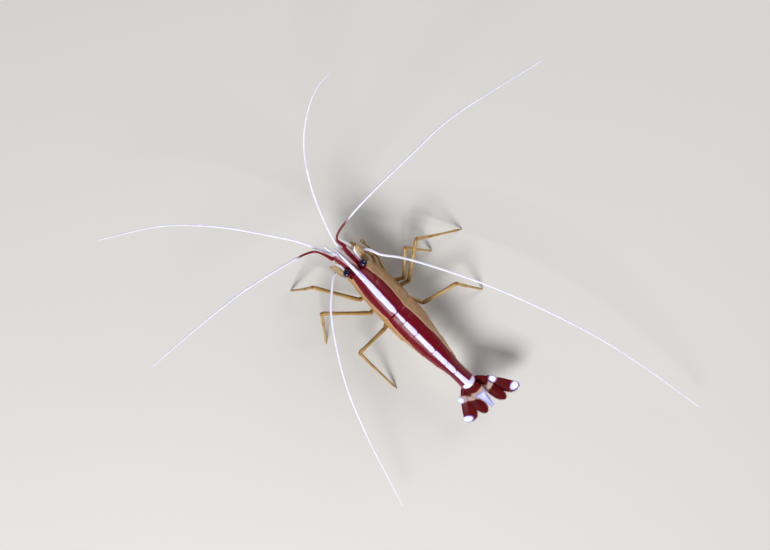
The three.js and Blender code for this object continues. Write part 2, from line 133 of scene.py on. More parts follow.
# The floor is a wide pale sheet of matt board under the feet.
FLOOR_SIZE = 6
FLOOR_GREYS = (paint(196, 194, 190), paint(203, 201, 197))
bpy.ops.object.select_all(action="DESELECT")
bpy.ops.mesh.primitive_plane_add(size=FLOOR_SIZE)
floor = bpy.context.object
floor.name = "floor"
floor_finish, floor_tree, floor_shader = new_finish("pale_board")
floor_noise = place_node(floor_tree, "ShaderNodeTexNoise", Scale=30.0, Detail=4.0)
floor_tint = place_node(floor_tree, "ShaderNodeMix", {"data_type": "RGBA"},
                        i0=floor_noise.outputs["Fac"], i6=FLOOR_GREYS[0], i7=FLOOR_GREYS[1])
floor_tree.links.new(floor_tint.outputs[2], floor_shader.inputs["Base Color"])
floor_shader.inputs["Roughness"].default_value = 0.9
floor.data.materials.append(floor_finish)
floor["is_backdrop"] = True

# Soft light: a faint sky, a wide lamp on the animal's left and a smaller one on its right.
SKY_COLOUR = (0.9, 0.94, 1, 1)
SKY_STRENGTH = 0.22
LAMPS = {
    "lamp_left": {"place": spot(-180, 320, 480), "size": 0.3, "power": 4.2},
    "lamp_right": {"place": spot(120, -460, 260), "size": 0.25, "power": 1.3},
}
world = bpy.data.worlds.new("soft_sky")
bpy.context.scene.world = world
world.use_nodes = True
sky = world.node_tree.nodes["Background"]
sky.inputs["Color"].default_value = SKY_COLOUR
sky.inputs["Strength"].default_value = SKY_STRENGTH
bpy.context.scene.view_settings.view_transform = "Standard"
for name, kind in LAMPS.items():
    lamp_data = bpy.data.lights.new(name, "AREA")
    lamp_data.size = kind["size"]
    lamp_data.energy = kind["power"]
    lamp = bpy.data.objects.new(name, lamp_data)
    bpy.context.scene.collection.objects.link(lamp)
    lamp.location = kind["place"]
    lamp.rotation_mode = "QUATERNION"
    lamp.rotation_quaternion = (home - kind["place"]).to_track_quat("-Z", "Y")


# ---- Carapace and rostrum ----
# One shell covers the head and thorax, open below and in front, with a low keel that runs on into
# the toothed rostrum. It is thin, glossy cuticle: crimson over the back, amber on the flanks.
CARAPACE_LENGTH = 13
BACK_HEIGHT = 15.2
BACK_FALL = math.radians(6)
BACK_ARCH = 0.25
REAR_HALF_WIDTH = 4.45
FRONT_HALF_WIDTH = 3.25
REAR_DEPTH = 10
FRONT_DEPTH = 6.6
HEM_TURN = math.radians(125)
FLAP_START = 0.35
SHELL_THICKNESS = 0.16


def clamped(value):
    return min(max(value, 0), 1)


def part_way(first, second, share):
    return first + (second - first) * share


def between(value, stations):
    """The value read off a drawn curve of (place, height) stations, eased between them."""
    if value <= stations[0][0]:
        return stations[0][1]
    for (x0, y0), (x1, y1) in zip(stations, stations[1:]):
        if value <= x1:
            share = (value - x0) / (x1 - x0)
            return y0 + (y1 - y0) * share * share * (3 - 2 * share)
    return stations[-1][1]


def bump(value, middle, spread, height=1):
    """A smooth hill, or a hollow where the height is negative."""
    return height * math.exp(-(((value - middle) / spread) ** 2))


def arch(wrap, half_width, depth):
    """A shell's section: how far to the side and below the ridge it is, from hem -1 to hem 1."""
    turn = abs(wrap) * HEM_TURN
    side = math.copysign(half_width * math.sin(turn), wrap)
    return side, depth * (1 - math.cos(turn)) / (1 - math.cos(HEM_TURN))


def arc_length(wrap, half_width, depth):
    """Millimetres round the section from the ridge."""
    steps = 12
    total, last = 0, (0, 0)
    for step in range(1, steps + 1):
        here = arch(abs(wrap) * step / steps, half_width, depth)
        total += math.dist(last, here)
        last = here
    return total


def flap_share(wrap):
    """How far down the side flap a place is: 0 on the back, 1 at the hem."""
    share = clamped((abs(wrap) - FLAP_START) / (1 - FLAP_START))
    return share * share * (3 - 2 * share)


def grid_skin(name, across, along, place):
    """A sheet of faces bent into shape: place(u, v) says in millimetres where each corner goes."""
    bpy.ops.object.select_all(action="DESELECT")
    bpy.ops.mesh.primitive_grid_add(x_subdivisions=across, y_subdivisions=along, size=2)
    skin = bpy.context.object
    skin.name = name
    skin.data.name = name
    for corner in skin.data.vertices:
        corner.co = spot(*place((corner.co.x + 1) / 2, (corner.co.y + 1) / 2))
    return skin


def chart(skin, name, reading):
    """A second map on a skin: reading(u, v) gives two numbers that the finish uses."""
    target = skin.data.uv_layers.new(name=name).data
    source = skin.data.uv_layers[0].data
    known = {}
    for loop in range(len(source)):
        key = tuple(round(part, 5) for part in source[loop].uv)
        if key not in known:
            known[key] = reading(*key)
        target[loop].uv = known[key]


def close_skin(skin, angle=50):
    """Merges what meets, turns the faces outwards and smooths all but the sharp edges."""
    bpy.ops.object.select_all(action="DESELECT")
    skin.select_set(True)
    bpy.context.view_layer.objects.active = skin
    bpy.ops.object.mode_set(mode="EDIT")
    bpy.ops.mesh.select_all(action="SELECT")
    bpy.ops.mesh.remove_doubles(threshold=2e-6)
    bpy.ops.mesh.normals_make_consistent(inside=False)
    bpy.ops.object.mode_set(mode="OBJECT")
    bpy.ops.object.shade_smooth_by_angle(angle=math.radians(angle))


def thicken(skin, thickness):
    """Gives a sheet that was just closed, and is still active, a wall on its inner side."""
    bpy.ops.object.modifier_add(type="SOLIDIFY")
    skin.modifiers[-1].thickness = thickness * MM
    skin.modifiers[-1].offset = -1
    bpy.ops.object.modifier_apply(modifier=skin.modifiers[-1].name)


def join_into(whole, others):
    bpy.ops.object.select_all(action="DESELECT")
    for other in others:
        other.select_set(True)
    whole.select_set(True)
    bpy.context.view_layer.objects.active = whole
    bpy.ops.object.join()
    return whole


def hand_in(piece, finish, slot, *nodes):
    """Gives a piece its finish, its body and the solids that it stands in for. The slot is not used."""
    piece.data.materials.clear()
    piece.data.materials.append(finish)
    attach(piece, "root")
    if nodes:
        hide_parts(*nodes)


# How wide the white stripe and the red band are, on each side of the ridge, along the body. The
# stripe lies a little to the right of the ridge and is pinched at each joint.
STRIPE_SHIFT = 0.14
STRIPE_EDGE = [(-27, 0.6), (-21.7, 0.55), (-21, 0.62), (-14, 0.6), (-7.5, 0.58), (-4, 0.56), (-0.6, 0.38),
               (0.2, 0.48), (2, 0.68), (8, 0.72), (10.6, 0.6), (13.2, 0.48), (17, 0.36), (21.8, 0.12)]
RED_EDGE = [(-28, 2.9), (-24, 3.0), (-21.7, 3.45), (-19.5, 3.55), (-17.6, 3.3), (-14, 3.55), (-12, 3.75),
            (-7.1, 3.35), (-5, 3.35), (-2.9, 3.15), (0, 2.85), (2, 3.2), (5, 3.5), (7, 3.5), (9, 3.2),
            (11, 2.75), (13.5, 2.3)]


def carapace_size(share):
    """The ridge's height, the half width and the depth, from the rear edge 0 to the front edge 1."""
    ridge = BACK_HEIGHT - share * CARAPACE_LENGTH * math.sin(BACK_FALL)
    ridge += BACK_ARCH * math.sin(math.pi * share)
    half_width = part_way(REAR_HALF_WIDTH, FRONT_HALF_WIDTH, share ** 2.2)
    return ridge, half_width, part_way(REAR_DEPTH, FRONT_DEPTH, share ** 3)


# The front edge, in millimetres past the carapace's length. Each hill or hollow is (its place
# from the ridge 0 to the hem 1, its spread, its reach).
FRONT_REACH = 0.35
FLAP_SETBACK = 1.2
EYE_SOCKET = (0.33, 0.11, -0.8)
SOCKET_SPINE = (0.46, 0.028, 0.9)
CHEEK_CORNER = (0.86, 0.05, 0.35)


def carapace_edge(wrap):
    away = abs(wrap)
    reach = FRONT_REACH + bump(away, *EYE_SOCKET) - FLAP_SETBACK * flap_share(wrap)
    return reach + bump(away, *SOCKET_SPINE) + bump(away, *CHEEK_CORNER)


KEEL_HEIGHT = 0.22
KEEL_START = 0.45
HEM_LOWEST = 0.45
GROOVE_DEPTH = 0.1
RIM_HEIGHT = 0.05
HEM_HEIGHT = 0.06
ROW_CROWDING = 0.9


def carapace_place(u, v):
    wrap = 2 * u - 1
    share = v ** ROW_CROWDING
    ridge, half_width, depth = carapace_size(share)
    keel = KEEL_HEIGHT * bump(wrap, 0, 0.09) * max(0, share - KEEL_START) / (1 - KEEL_START)
    groove = GROOVE_DEPTH * bump(share, 0.62 + 0.25 * abs(wrap), 0.035) * bump(abs(wrap), 0.42, 0.2)
    rim = bump(share, 0, 0.03, RIM_HEIGHT) + bump(share, 1, 0.03, RIM_HEIGHT) * (1 - bump(wrap, 0, 0.1))
    hem = bump(abs(wrap), 1, 0.04, HEM_HEIGHT)
    swell = 1 + (rim + hem - groove) / half_width
    side, down = arch(wrap, half_width * swell, depth)
    hem_lift = 0.6 * (flap_share(wrap) ** 3) * (2 * share - 2 * HEM_LOWEST) ** 2
    hem_lift *= 1 if share > HEM_LOWEST else 1.6
    reach = carapace_edge(wrap) * max(0, share - 0.8) * 5 - 0.25 * (1 - share) ** 8 * (1 - flap_share(wrap))
    x = SHELL_GAP + share * CARAPACE_LENGTH + reach
    return x, side, ridge + keel + rim - groove - down + hem_lift


def pattern_on_shell(x, arc, joint):
    """Millimetres inside the white stripe and inside the red band, negative outside them, for a
    place that is `joint` millimetres from the joint behind it."""
    pinch = 0.45 * bump(joint, 0, 0.13) + 0.13 * bump(joint, 0, 0.7)
    white = between(x, STRIPE_EDGE) - abs(arc + STRIPE_SHIFT) - pinch
    return white, between(x, RED_EDGE) - abs(arc + STRIPE_SHIFT)


def carapace_pattern(u, v):
    wrap = 2 * u - 1
    share = v ** ROW_CROWDING
    ridge, half_width, depth = carapace_size(share)
    arc = arc_length(wrap, half_width, depth)
    return pattern_on_shell(share * CARAPACE_LENGTH, math.copysign(arc, wrap), share * CARAPACE_LENGTH)


ROSTRUM_START = 9.5
ROSTRUM_FREE = 12.4
ROSTRUM_END = 21.85
ROSTRUM_HALF_WIDTHS = [(9.5, 0.25), (12.5, 0.56), (14, 0.55), (18, 0.4), (21.8, 0.2)]
ROSTRUM_TEETH = 7


def rostrum_place(u, v):
    """A blade with a toothed top and a deep keel, free of the shell from ROSTRUM_FREE on."""
    x = part_way(ROSTRUM_START, ROSTRUM_END, v)
    share = min(x / CARAPACE_LENGTH, 1)
    base = carapace_size(share)[0]
    turn = u * math.tau
    free = clamped((x - ROSTRUM_FREE) / (ROSTRUM_END - ROSTRUM_FREE))
    tip = (1 - free) ** 0.45
    half_width = between(x, ROSTRUM_HALF_WIDTHS) * min(1, 3 * tip)
    saw = (v * ROSTRUM_TEETH) % 1
    tooth = saw ** 1.4 * (1 - saw ** 9) * (0.1 + 0.5 * free * (1 - free)) * max(0, math.cos(turn)) ** 8
    top = (0.3 + tooth) * min(1, 2 * tip) * min(1, v * 5)
    keel = (0.35 + 0.55 * math.sin(math.pi * min(free * 1.15, 1)) * free) * min(1, 2 * tip)
    rise = math.cos(turn)
    wing = abs(math.sin(turn)) ** 0.8 * math.copysign(1, math.sin(turn))
    height = rise * top if rise > 0 else rise * keel
    droop = -0.35 * free * (1 - free)
    return x, half_width * wing, base + 0.1 * min(1, v * 5) - 0.05 + droop + height


def rostrum_pattern(u, v):
    x = part_way(ROSTRUM_START, ROSTRUM_END, v)
    side = abs(rostrum_place(u, v)[1]) if min(u, 1 - u) < 0.25 else 1
    return between(x, STRIPE_EDGE) - side, 1.0


carapace = grid_skin("carapace_shell", 110, 56, carapace_place)
chart(carapace, "bands", carapace_pattern)
close_skin(carapace)
thicken(carapace, SHELL_THICKNESS)
rostrum = grid_skin("rostrum_blade", 20, 98, rostrum_place)
chart(rostrum, "bands", rostrum_pattern)
close_skin(rostrum, 60)
carapace = join_into(carapace, [rostrum])


def cuticle_group():
    """Wear and growth marks that every shell shares: broad cloudiness, fine pigment dots, pores."""
    group = bpy.data.node_groups.new("cuticle", "ShaderNodeTree")
    group.interface.new_socket("Place", in_out="INPUT", socket_type="NodeSocketVector")
    for mark in ("Cloud", "Dots", "Grain"):
        group.interface.new_socket(mark, in_out="OUTPUT", socket_type="NodeSocketFloat")
    entry = group.nodes.new("NodeGroupInput")
    leave = group.nodes.new("NodeGroupOutput")
    place = entry.outputs["Place"]
    cloud = place_node(group, "ShaderNodeTexNoise", Vector=place, Scale=420.0, Detail=5.0, Roughness=0.6)
    cloud_range = place_node(group, "ShaderNodeMapRange", Value=cloud.outputs["Fac"],
                             From_Min=0.3, From_Max=0.7)
    dots = place_node(group, "ShaderNodeTexVoronoi", Vector=place, Scale=5200.0)
    spread = place_node(group, "ShaderNodeTexNoise", Vector=place, Scale=900.0, Detail=2.0)
    size = place_node(group, "ShaderNodeMapRange", Value=spread.outputs["Fac"], From_Min=0.45, From_Max=0.75,
                      To_Min=0.05, To_Max=0.34)
    inside = place_node(group, "ShaderNodeMath", {"operation": "LESS_THAN"}, i0=dots.outputs["Distance"],
                        i1=size.outputs["Result"])
    grain = place_node(group, "ShaderNodeTexNoise", Vector=place, Scale=6500.0, Detail=3.0)
    group.links.new(cloud_range.outputs["Result"], leave.inputs["Cloud"])
    group.links.new(inside.outputs["Value"], leave.inputs["Dots"])
    group.links.new(grain.outputs["Fac"], leave.inputs["Grain"])
    return group


cuticle = cuticle_group()


def cuticle_marks(tree):
    """The shared marks, placed in a material: its Cloud, Dots and Grain."""
    place = tree.nodes.new("ShaderNodeTexCoord")
    marks = tree.nodes.new("ShaderNodeGroup")
    marks.node_tree = cuticle
    tree.links.new(place.outputs["Object"], marks.inputs["Place"])
    return marks.outputs


def blend_colour(tree, share, low, high):
    """Mixes two colours or outputs by a share, and returns the result's output."""
    return place_node(tree, "ShaderNodeMix", {"data_type": "RGBA"}, i0=share, i6=low, i7=high).outputs[2]


def calculate(tree, operation, first, second=0.0):
    return place_node(tree, "ShaderNodeMath", {"operation": operation}, i0=first, i1=second).outputs[0]


def edge_mask(tree, distance, soft_from, soft_to):
    """A mask that goes from 0 to 1 as a distance goes from one number to the other."""
    ramp = place_node(tree, "ShaderNodeMapRange", {"interpolation_type": "SMOOTHSTEP"}, Value=distance,
                      From_Min=soft_from, From_Max=soft_to)
    return ramp.outputs["Result"]


def map_parts(tree, name):
    """The two numbers that a skin's own map holds."""
    numbers = place_node(tree, "ShaderNodeUVMap", {"uv_map": name})
    parts = place_node(tree, "ShaderNodeSeparateXYZ", Vector=numbers.outputs["UV"])
    return parts.outputs["X"], parts.outputs["Y"]


def scaled(tree, value, factor):
    return calculate(tree, "MULTIPLY", value, factor)


def wavering(tree, marks, distance, sway):
    """A distance that wanders with the cloudiness, so that no colour ends on a ruled line."""
    waver = scaled(tree, calculate(tree, "SUBTRACT", marks["Cloud"], 0.5), sway)
    return calculate(tree, "ADD", distance, waver)


def cloudy(tree, marks, low, high):
    """A colour that drifts between two, each given as (red, green, blue)."""
    return blend_colour(tree, marks["Cloud"], paint(*low), paint(*high))


def dotted(tree, marks, strength, ground, dots):
    """Strews the cuticle's pigment dots over a ground colour."""
    return blend_colour(tree, scaled(tree, marks["Dots"], strength), ground, paint(*dots))


RELIEF_DEPTH = 0.00002
GLOW_DEPTH = 0.0006


def skin_bump(tree, shader, height, strength):
    relief = place_node(tree, "ShaderNodeBump", Strength=strength, Distance=RELIEF_DEPTH, Height=height)
    tree.links.new(relief.outputs["Normal"], shader.inputs["Normal"])


def living_shell(tree, shader, colour, roughness, glow, coat=0.08):
    """The colour and the steady parts of a wet cuticle that lets a little light in."""
    tree.links.new(colour, shader.inputs["Base Color"])
    shader.inputs["Roughness"].default_value = roughness
    shader.inputs["Subsurface Weight"].default_value = glow
    shader.inputs["Subsurface Scale"].default_value = GLOW_DEPTH
    shader.inputs["Subsurface Radius"].default_value = (1, 0.5, 0.3)
    shader.inputs["Coat Weight"].default_value = coat
    shader.inputs["Coat Roughness"].default_value = 0.1
    shader.inputs["Specular IOR Level"].default_value = 0.2


def banded_finish():
    """Amber flanks with painted light and shade: paler and more grey on the right, where light fell, and
    darker low down, where it fell off. Then a pale seam, the crimson band and the white stripe in its violet
    edge."""
    finish, tree, shader = new_finish("banded_shell")
    marks = cuticle_marks(tree)
    white_inset, red_inset = map_parts(tree, "bands")
    in_white = wavering(tree, marks, white_inset, 0.14)
    in_red = wavering(tree, marks, red_inset, 0.14)
    place = tree.nodes.new("ShaderNodeTexCoord")
    axes = place_node(tree, "ShaderNodeSeparateXYZ", Vector=place.outputs["Object"])
    # Painted light: the right flank is painted paler and more grey, as lit from that side, and the left
    # flank darker and more saturated, as in shade.
    leftward = edge_mask(tree, axes.outputs["Y"], home.y - 0.002, home.y + 0.002)
    lit_right_amber = cloudy(tree, marks, (176, 142, 102), (152, 112, 80))
    shaded_left_amber = cloudy(tree, marks, (184, 136, 76), (160, 112, 56))
    amber = blend_colour(tree, leftward, lit_right_amber, shaded_left_amber)
    # Painted shade: the flank is painted darker further below the red band, where less light reaches.
    painted_shade_low = scaled(tree, edge_mask(tree, in_red, -0.9, -5.5), 0.6)
    shaded_amber = blend_colour(tree, painted_shade_low, amber, paint(128, 96, 50))
    freckled = dotted(tree, marks, 0.3, shaded_amber, (128, 44, 34))
    seam = scaled(tree, edge_mask(tree, in_red, -0.5, -0.2), 0.75)
    flank = blend_colour(tree, seam, freckled, paint(206, 170, 142))
    crimson = dotted(tree, marks, 0.25, cloudy(tree, marks, (100, 0, 17), (116, 0, 24)), (72, 0, 12))
    back = blend_colour(tree, edge_mask(tree, in_red, -0.14, 0.1), flank, crimson)
    violet = blend_colour(tree, edge_mask(tree, in_white, -0.16, 0.02), back, paint(150, 110, 190))
    white = cloudy(tree, marks, (232, 231, 248), (210, 208, 240))
    stripe = blend_colour(tree, edge_mask(tree, in_white, -0.03, 0.12), violet, white)
    living_shell(tree, shader, stripe, 0.32, 0.12)
    skin_bump(tree, shader, marks["Grain"], 0.25)
    return finish


banded = banded_finish()
hand_in(carapace, banded, "banded_shell", "carapace", "rostrum")


# ---- Abdomen rings ----
# Six rings of shell along the arched back. Each one's front edge slips under the ring before it,
# and the second ring's side flaps overlap those of both its neighbours.
BACK_RADIUS = 71
BACK_START = math.radians(-3)
RING_LENGTHS = [2.9, 4.2, 6.4, 4.7, 3.5, 6.4]
RING_WIDTHS = [4.42, 4.4, 4.2, 3.45, 2.7, 2, 1.7]
RING_DEPTHS = [8.6, 8.6, 8.4, 7.2, 6, 4.9, 3.9]
FLAP_FRONTS = [-0.2, 0.8, -1.2, -0.8, -0.8, -0.5]
FLAP_REARS = [-1.2, 0.8, -0.5, -0.3, -0.2, -0.4]
FLAP_LIFTS = [-0.1, 0.22, -0.08, 0.02, 0.02, 0.02]
CORNER_CUTS = [0.5, 1.2, 0.9, 0.8, 0.7, 0.5]
RING_TUCK = 0.45
RING_OVERHANG = 0.3
LAST_RING = 5
LAST_OVERHANG = 0.1


def back_point(run, side, down):
    """A point on or under the back, `run` millimetres behind the carapace."""
    slope = BACK_START + run / BACK_RADIUS
    ridge_x = -BACK_RADIUS * (math.sin(slope) - math.sin(BACK_START))
    ridge_z = BACK_HEIGHT + BACK_RADIUS * (math.cos(slope) - math.cos(BACK_START))
    return ridge_x + down * math.sin(slope), side, ridge_z - down * math.cos(slope)


def ring_start(number):
    return sum(RING_LENGTHS[:number])


def ring_at(run):
    return max(n for n in range(len(RING_LENGTHS)) if run >= ring_start(n) or n == 0)


def body_size(run):
    """The abdomen's half width and depth at a distance behind the carapace."""
    number = ring_at(run)
    share = (run - ring_start(number)) / RING_LENGTHS[number]
    half_width = part_way(RING_WIDTHS[number], RING_WIDTHS[number + 1], share)
    return half_width, part_way(RING_DEPTHS[number], RING_DEPTHS[number + 1], share)


def ring_run(number, v):
    """Where the ring's grid line v lies along the body, and its share of the ring's own length."""
    length = RING_LENGTHS[number]
    rear = RING_OVERHANG if number < LAST_RING else LAST_OVERHANG
    run = ring_start(number) - RING_TUCK + v * (length + RING_TUCK + rear)
    return run, clamped((run - ring_start(number)) / length)


def ring_lift(number, run, share, wrap):
    """How far the plate stands off the body: tucked in front, raised over the next ring behind."""
    tuck = -0.26 * (1 - clamped((run - ring_start(number) + RING_TUCK) / 0.75))
    over = 0.12 * share ** 6 + 0.05 * math.sin(math.pi * share)
    outer = flap_share(wrap)
    if number == 1:
        tuck *= 1 - outer
    return tuck + over + FLAP_LIFTS[number] * outer + bump(abs(wrap), 1, 0.05, 0.05)


def rear_flare(number, share):
    """The last ring widens again towards its rear edge."""
    return 0.4 * share * share if number == LAST_RING else 0


def ring_maker(number):
    def place(u, v):
        wrap = 2 * u - 1
        run, share = ring_run(number, v)
        half_width, depth = body_size(run)
        half_width += rear_flare(number, share)
        lift = ring_lift(number, run, share, wrap)
        corner = abs(2 * share - 1) ** 3.5 * flap_share(wrap) ** 2
        round_off = CORNER_CUTS[number] * corner
        side, down = arch(wrap, half_width + lift, depth)
        reach = (1 - share) * -FLAP_FRONTS[number] + share * FLAP_REARS[number]
        spine = 0.8 * bump(abs(wrap), 0.9, 0.06) * share ** 8 if number >= 4 else 0
        if number == LAST_RING:
            run += 0.5 * min(abs(side) / 2, 1.1) ** 2 * share * share
        shrink = 1 - round_off / depth
        return back_point(run + reach * flap_share(wrap) + spine, side * (1 - 0.3 * (1 - shrink)),
                          down * shrink - lift)

    return place


# The white stripe ends in a cross bar on the last ring.
T_BAR_MIDDLE = -0.28
T_BAR_HALF_LENGTH = 1.72
T_BAR_RUN = 27.3
T_BAR_HALF_THICKNESS = 0.62
T_BAR_MELT = 7


def ring_pattern(number):
    rear_edge = ring_start(number) + RING_LENGTHS[number] + (RING_OVERHANG if number < LAST_RING else 9)

    def reading(u, v):
        wrap = 2 * u - 1
        run, share = ring_run(number, v)
        half_width, depth = body_size(run)
        arc = math.copysign(arc_length(wrap, half_width, depth), wrap)
        white, red = pattern_on_shell(-run, arc, rear_edge - run)
        if number == LAST_RING:
            side = arch(wrap, half_width + rear_flare(number, share), depth)[0]
            beyond = max(abs(side - T_BAR_MIDDLE) - T_BAR_HALF_LENGTH + T_BAR_HALF_THICKNESS, 0)
            bar = T_BAR_HALF_THICKNESS - math.hypot(beyond, run - T_BAR_RUN)
            white = math.log(math.exp(white * T_BAR_MELT) + math.exp(bar * T_BAR_MELT)) / T_BAR_MELT
        return white, red

    return reading


for number in range(len(RING_LENGTHS)):
    ring = grid_skin(f"abdomen_ring_{number + 1}", 80, 28, ring_maker(number))
    chart(ring, "bands", ring_pattern(number))
    close_skin(ring)
    thicken(ring, SHELL_THICKNESS)
    hand_in(ring, banded, "banded_shell", f"abdomen_{number + 1}")


# ---- Flesh inside the shells ----
# One long body fills the shells. It shows in front, under the eyes, and below between the side
# flaps, where each ring has a stiff cross bar of its own. It is pale, cloudy amber.
CORE_FRONT = 12.2
CORE_REAR = 27.9
OVER_BACK = 0.7


def closed_section(u, half_width, depth, floor_rise):
    """A section that runs over the back from hem to hem and returns under a raised floor."""
    if u <= OVER_BACK:
        return arch(2 * u / OVER_BACK - 1, half_width, depth)
    back = 1 - 2 * (u - OVER_BACK) / (1 - OVER_BACK)
    down = depth * (1 - floor_rise * (1 - abs(back) ** 1.5))
    return back * half_width * math.sin(HEM_TURN), down


def core_place(u, v):
    run = -CORE_FRONT + v * (CORE_FRONT + CORE_REAR)
    front_cap = clamped((run + CORE_FRONT) / 1.6)
    rear_cap = clamped((CORE_REAR - run) / 1.2)
    round_off = math.sqrt(1 - (1 - front_cap) ** 2) * math.sqrt(1 - (1 - rear_cap) ** 2)
    if run < 0:
        ridge, half_width, depth = carapace_size(-run / CARAPACE_LENGTH)
        side, down = closed_section(u, half_width * 0.9 * round_off, depth * 0.86 * round_off, 0.12)
        return -run, side, ridge - 0.45 - down - (1 - round_off) * 3
    half_width, depth = body_size(min(run, 27.8))
    number = ring_at(run)
    middle = ring_start(number) + RING_LENGTHS[number] / 2
    bar = 0.3 * bump(run, middle, 0.5) * (1 if u > OVER_BACK else 0)
    side, down = closed_section(u, half_width * 0.88 * round_off, depth * 0.84 * round_off, 0.3)
    return back_point(run, side, down + 0.4 + bar + (1 - round_off) * 1.5)


core = grid_skin("body_core", 48, 150, core_place)
close_skin(core)


def amber_finish(name, pale, deep, joint):
    """Cloudy amber cuticle, darker and redder close to the joints."""
    finish, tree, shader = new_finish(name)
    marks = cuticle_marks(tree)
    freckled = dotted(tree, marks, 0.35, cloudy(tree, marks, pale, deep), joint)
    from_joint = map_parts(tree, "limb")[0]
    near = scaled(tree, edge_mask(tree, from_joint, 0.5, 0.05), 0.7)
    living_shell(tree, shader, blend_colour(tree, near, freckled, paint(*joint)), 0.36, 0.3, 0.2)
    skin_bump(tree, shader, marks["Grain"], 0.2)
    return finish


# A limb's chart holds the millimetres from the nearest joint and the share of the limb's length.
# This far from a joint, the finish shows none.
NO_JOINT = 9


def plain_limb_chart(skin):
    chart(skin, "limb", lambda u, v: (NO_JOINT, v))


plain_limb_chart(core)
flesh = amber_finish("flesh", (222, 180, 128), (200, 150, 100), (168, 84, 60))
hand_in(core, flesh, "amber_limb")


# ---- Underside of the thorax ----
# Five pairs of round hips stand side by side on a ridged breast plate, and the legs grow from them.
# It is the same amber cuticle, folded deep between the hips.
THORAX_REAR = -1.7
THORAX_FRONT = 10.2
THORAX_HALF_WIDTH = 2.75
THORAX_HEIGHT = 2.35
HIP_HEIGHT = 4.75
HIP_PLACES = [-1, 1.2, 3.4, 5.6, 7.6, 9.6]


def thorax_place(u, v):
    x = part_way(THORAX_REAR, THORAX_FRONT, v)
    taper = max(math.sin(math.pi * (0.02 + 0.96 * v)), 0) ** 0.35
    turn = u * math.tau
    up = max(0, math.sin(turn)) ** 1.3
    hips = max(bump(x, place, 0.75) for place in HIP_PLACES)
    middle = bump(math.cos(turn), 0, 0.22) * max(0, -math.sin(turn))
    y = THORAX_HALF_WIDTH * taper * math.cos(turn) * (0.84 + 0.16 * hips)
    low = -0.25 * hips * max(0, -math.sin(turn)) * (1 - middle) + 0.3 * middle
    return x, y, HIP_HEIGHT + 0.3 + THORAX_HEIGHT * taper * up + low + 0.15 * (1 - hips)


def at_end(v):
    """True on the first and the last grid line of a roll."""
    return v < 1e-4 or v > 1 - 1e-4


def capped(place):
    """Draws the first and last grid line of a roll together into a pole."""

    def capped_place(u, v):
        if not at_end(v):
            return place(u, v)
        corners = [place(step / 12, v) for step in range(12)]
        return tuple(sum(axis) / 12 for axis in zip(*corners))

    return capped_place


thorax = grid_skin("thorax_underside_skin", 36, 72, capped(thorax_place))
plain_limb_chart(thorax)
close_skin(thorax)
hand_in(thorax, flesh, "amber_limb", "thorax_underside")


# ---- Jointed limbs ----
# A limb is a row of hollow shell tubes, thick at the knuckles and drawn in where the soft joint
# skin shows between two of them. All the legs are cloudy amber, and three pairs carry the animal.
# A span's rings, as (share of the length, swelling).
LIMB_SPAN = [(0.05, 0.98), (0.14, 0.94), (0.3, 0.86), (0.5, 0.83), (0.7, 0.87), (0.86, 0.97), (0.95, 1.06),
             (1.0, 0.74)]
WALKING_LEG_RADII = [0.8, 0.66, 0.57, 0.5, 0.38, 0.3, 0.1]
SHIN_BOW = 0.4
BASE_DROP = 0.9
WALKING_LEGS = {
    "leg_3_left": [(3.4, 1.8), (5.4, 6, 4.9), (16.1, 11.4, 7.6), (17, 17.5, 0)],
    "leg_4_left": [(1.2, 1.8), (1, 6.2, 5.1), (10, 14.2, 8.4), (0.8, 20.5, 0)],
    "leg_5_left": [(-1, 1.8), (-4.3, 6.2, 5.1), (-3.9, 14.4, 8), (-19.8, 15.7, 0)],
    "leg_3_right": [(3.4, -1.8), (2.4, -5.8, 5.4), (8.5, -11.3, 7.4), (1.2, -14.3, 0)],
    "leg_4_right": [(1.2, -1.8), (0.9, -6.1, 4.8), (8.6, -14.8, 8.4), (0.4, -23.3, 0)],
    "leg_5_right": [(-1, -1.8), (-5.8, -4.9, 4.9), (-6.5, -14.4, 8), (-14.7, -16.9, 0)],
}


def path_frames(path):
    """For each point of a path, two directions square to it that do not twist along the way."""
    headings = []
    for i, here in enumerate(path):
        arriving = (here - path[max(i - 1, 0)]).normalized()
        leaving = (path[min(i + 1, len(path) - 1)] - here).normalized()
        headings.append((arriving + leaving).normalized())
    across = Vector((0, 0, 1)).cross(headings[0])
    if across.length < 0.2:
        across = Vector((1, 0, 0)).cross(headings[0])
    frames = []
    for heading in headings:
        across = (across - heading * across.dot(heading)).normalized()
        frames.append((across.copy(), heading.cross(across)))
    return frames


def path_lengths(path):
    lengths = [0]
    for before, after in zip(path, path[1:]):
        lengths.append(lengths[-1] + (after - before).length)
    return lengths


def tube_skin(name, path, radii, sides, flatten=1.0):
    """A closed round skin along a path of points in millimetres, with a radius for each point."""
    frames = path_frames(path)
    last = len(path) - 1

    def place(u, v):
        ring = round(v * last)
        turn = u * math.tau
        across, above = frames[ring]
        radius = radii[ring]
        return path[ring] + across * (radius * math.cos(turn)) + above * (radius * flatten * math.sin(turn))

    return grid_skin(name, sides, last, place)


def limb_path(joints, radii, span=LIMB_SPAN):
    """The rings of a jointed limb: their centres, radii and distances from the nearest joint."""
    path, sizes, away = [joints[0], joints[0].lerp(joints[1], 0.01)], [0, radii[0] * 0.8], [0.2, 0.2]
    for i in range(1, len(joints)):
        length = (joints[i] - joints[i - 1]).length
        for share, swell in span:
            path.append(joints[i - 1].lerp(joints[i], share))
            sizes.append(part_way(radii[i - 1], radii[i], share) * swell)
            away.append(min(share * length if i > 1 else NO_JOINT, (1 - share) * length))
    path.append(joints[-1] + (joints[-1] - joints[-2]).normalized() * radii[-1] * 0.4)
    sizes.append(0)
    away.append(NO_JOINT)
    return path, sizes, away


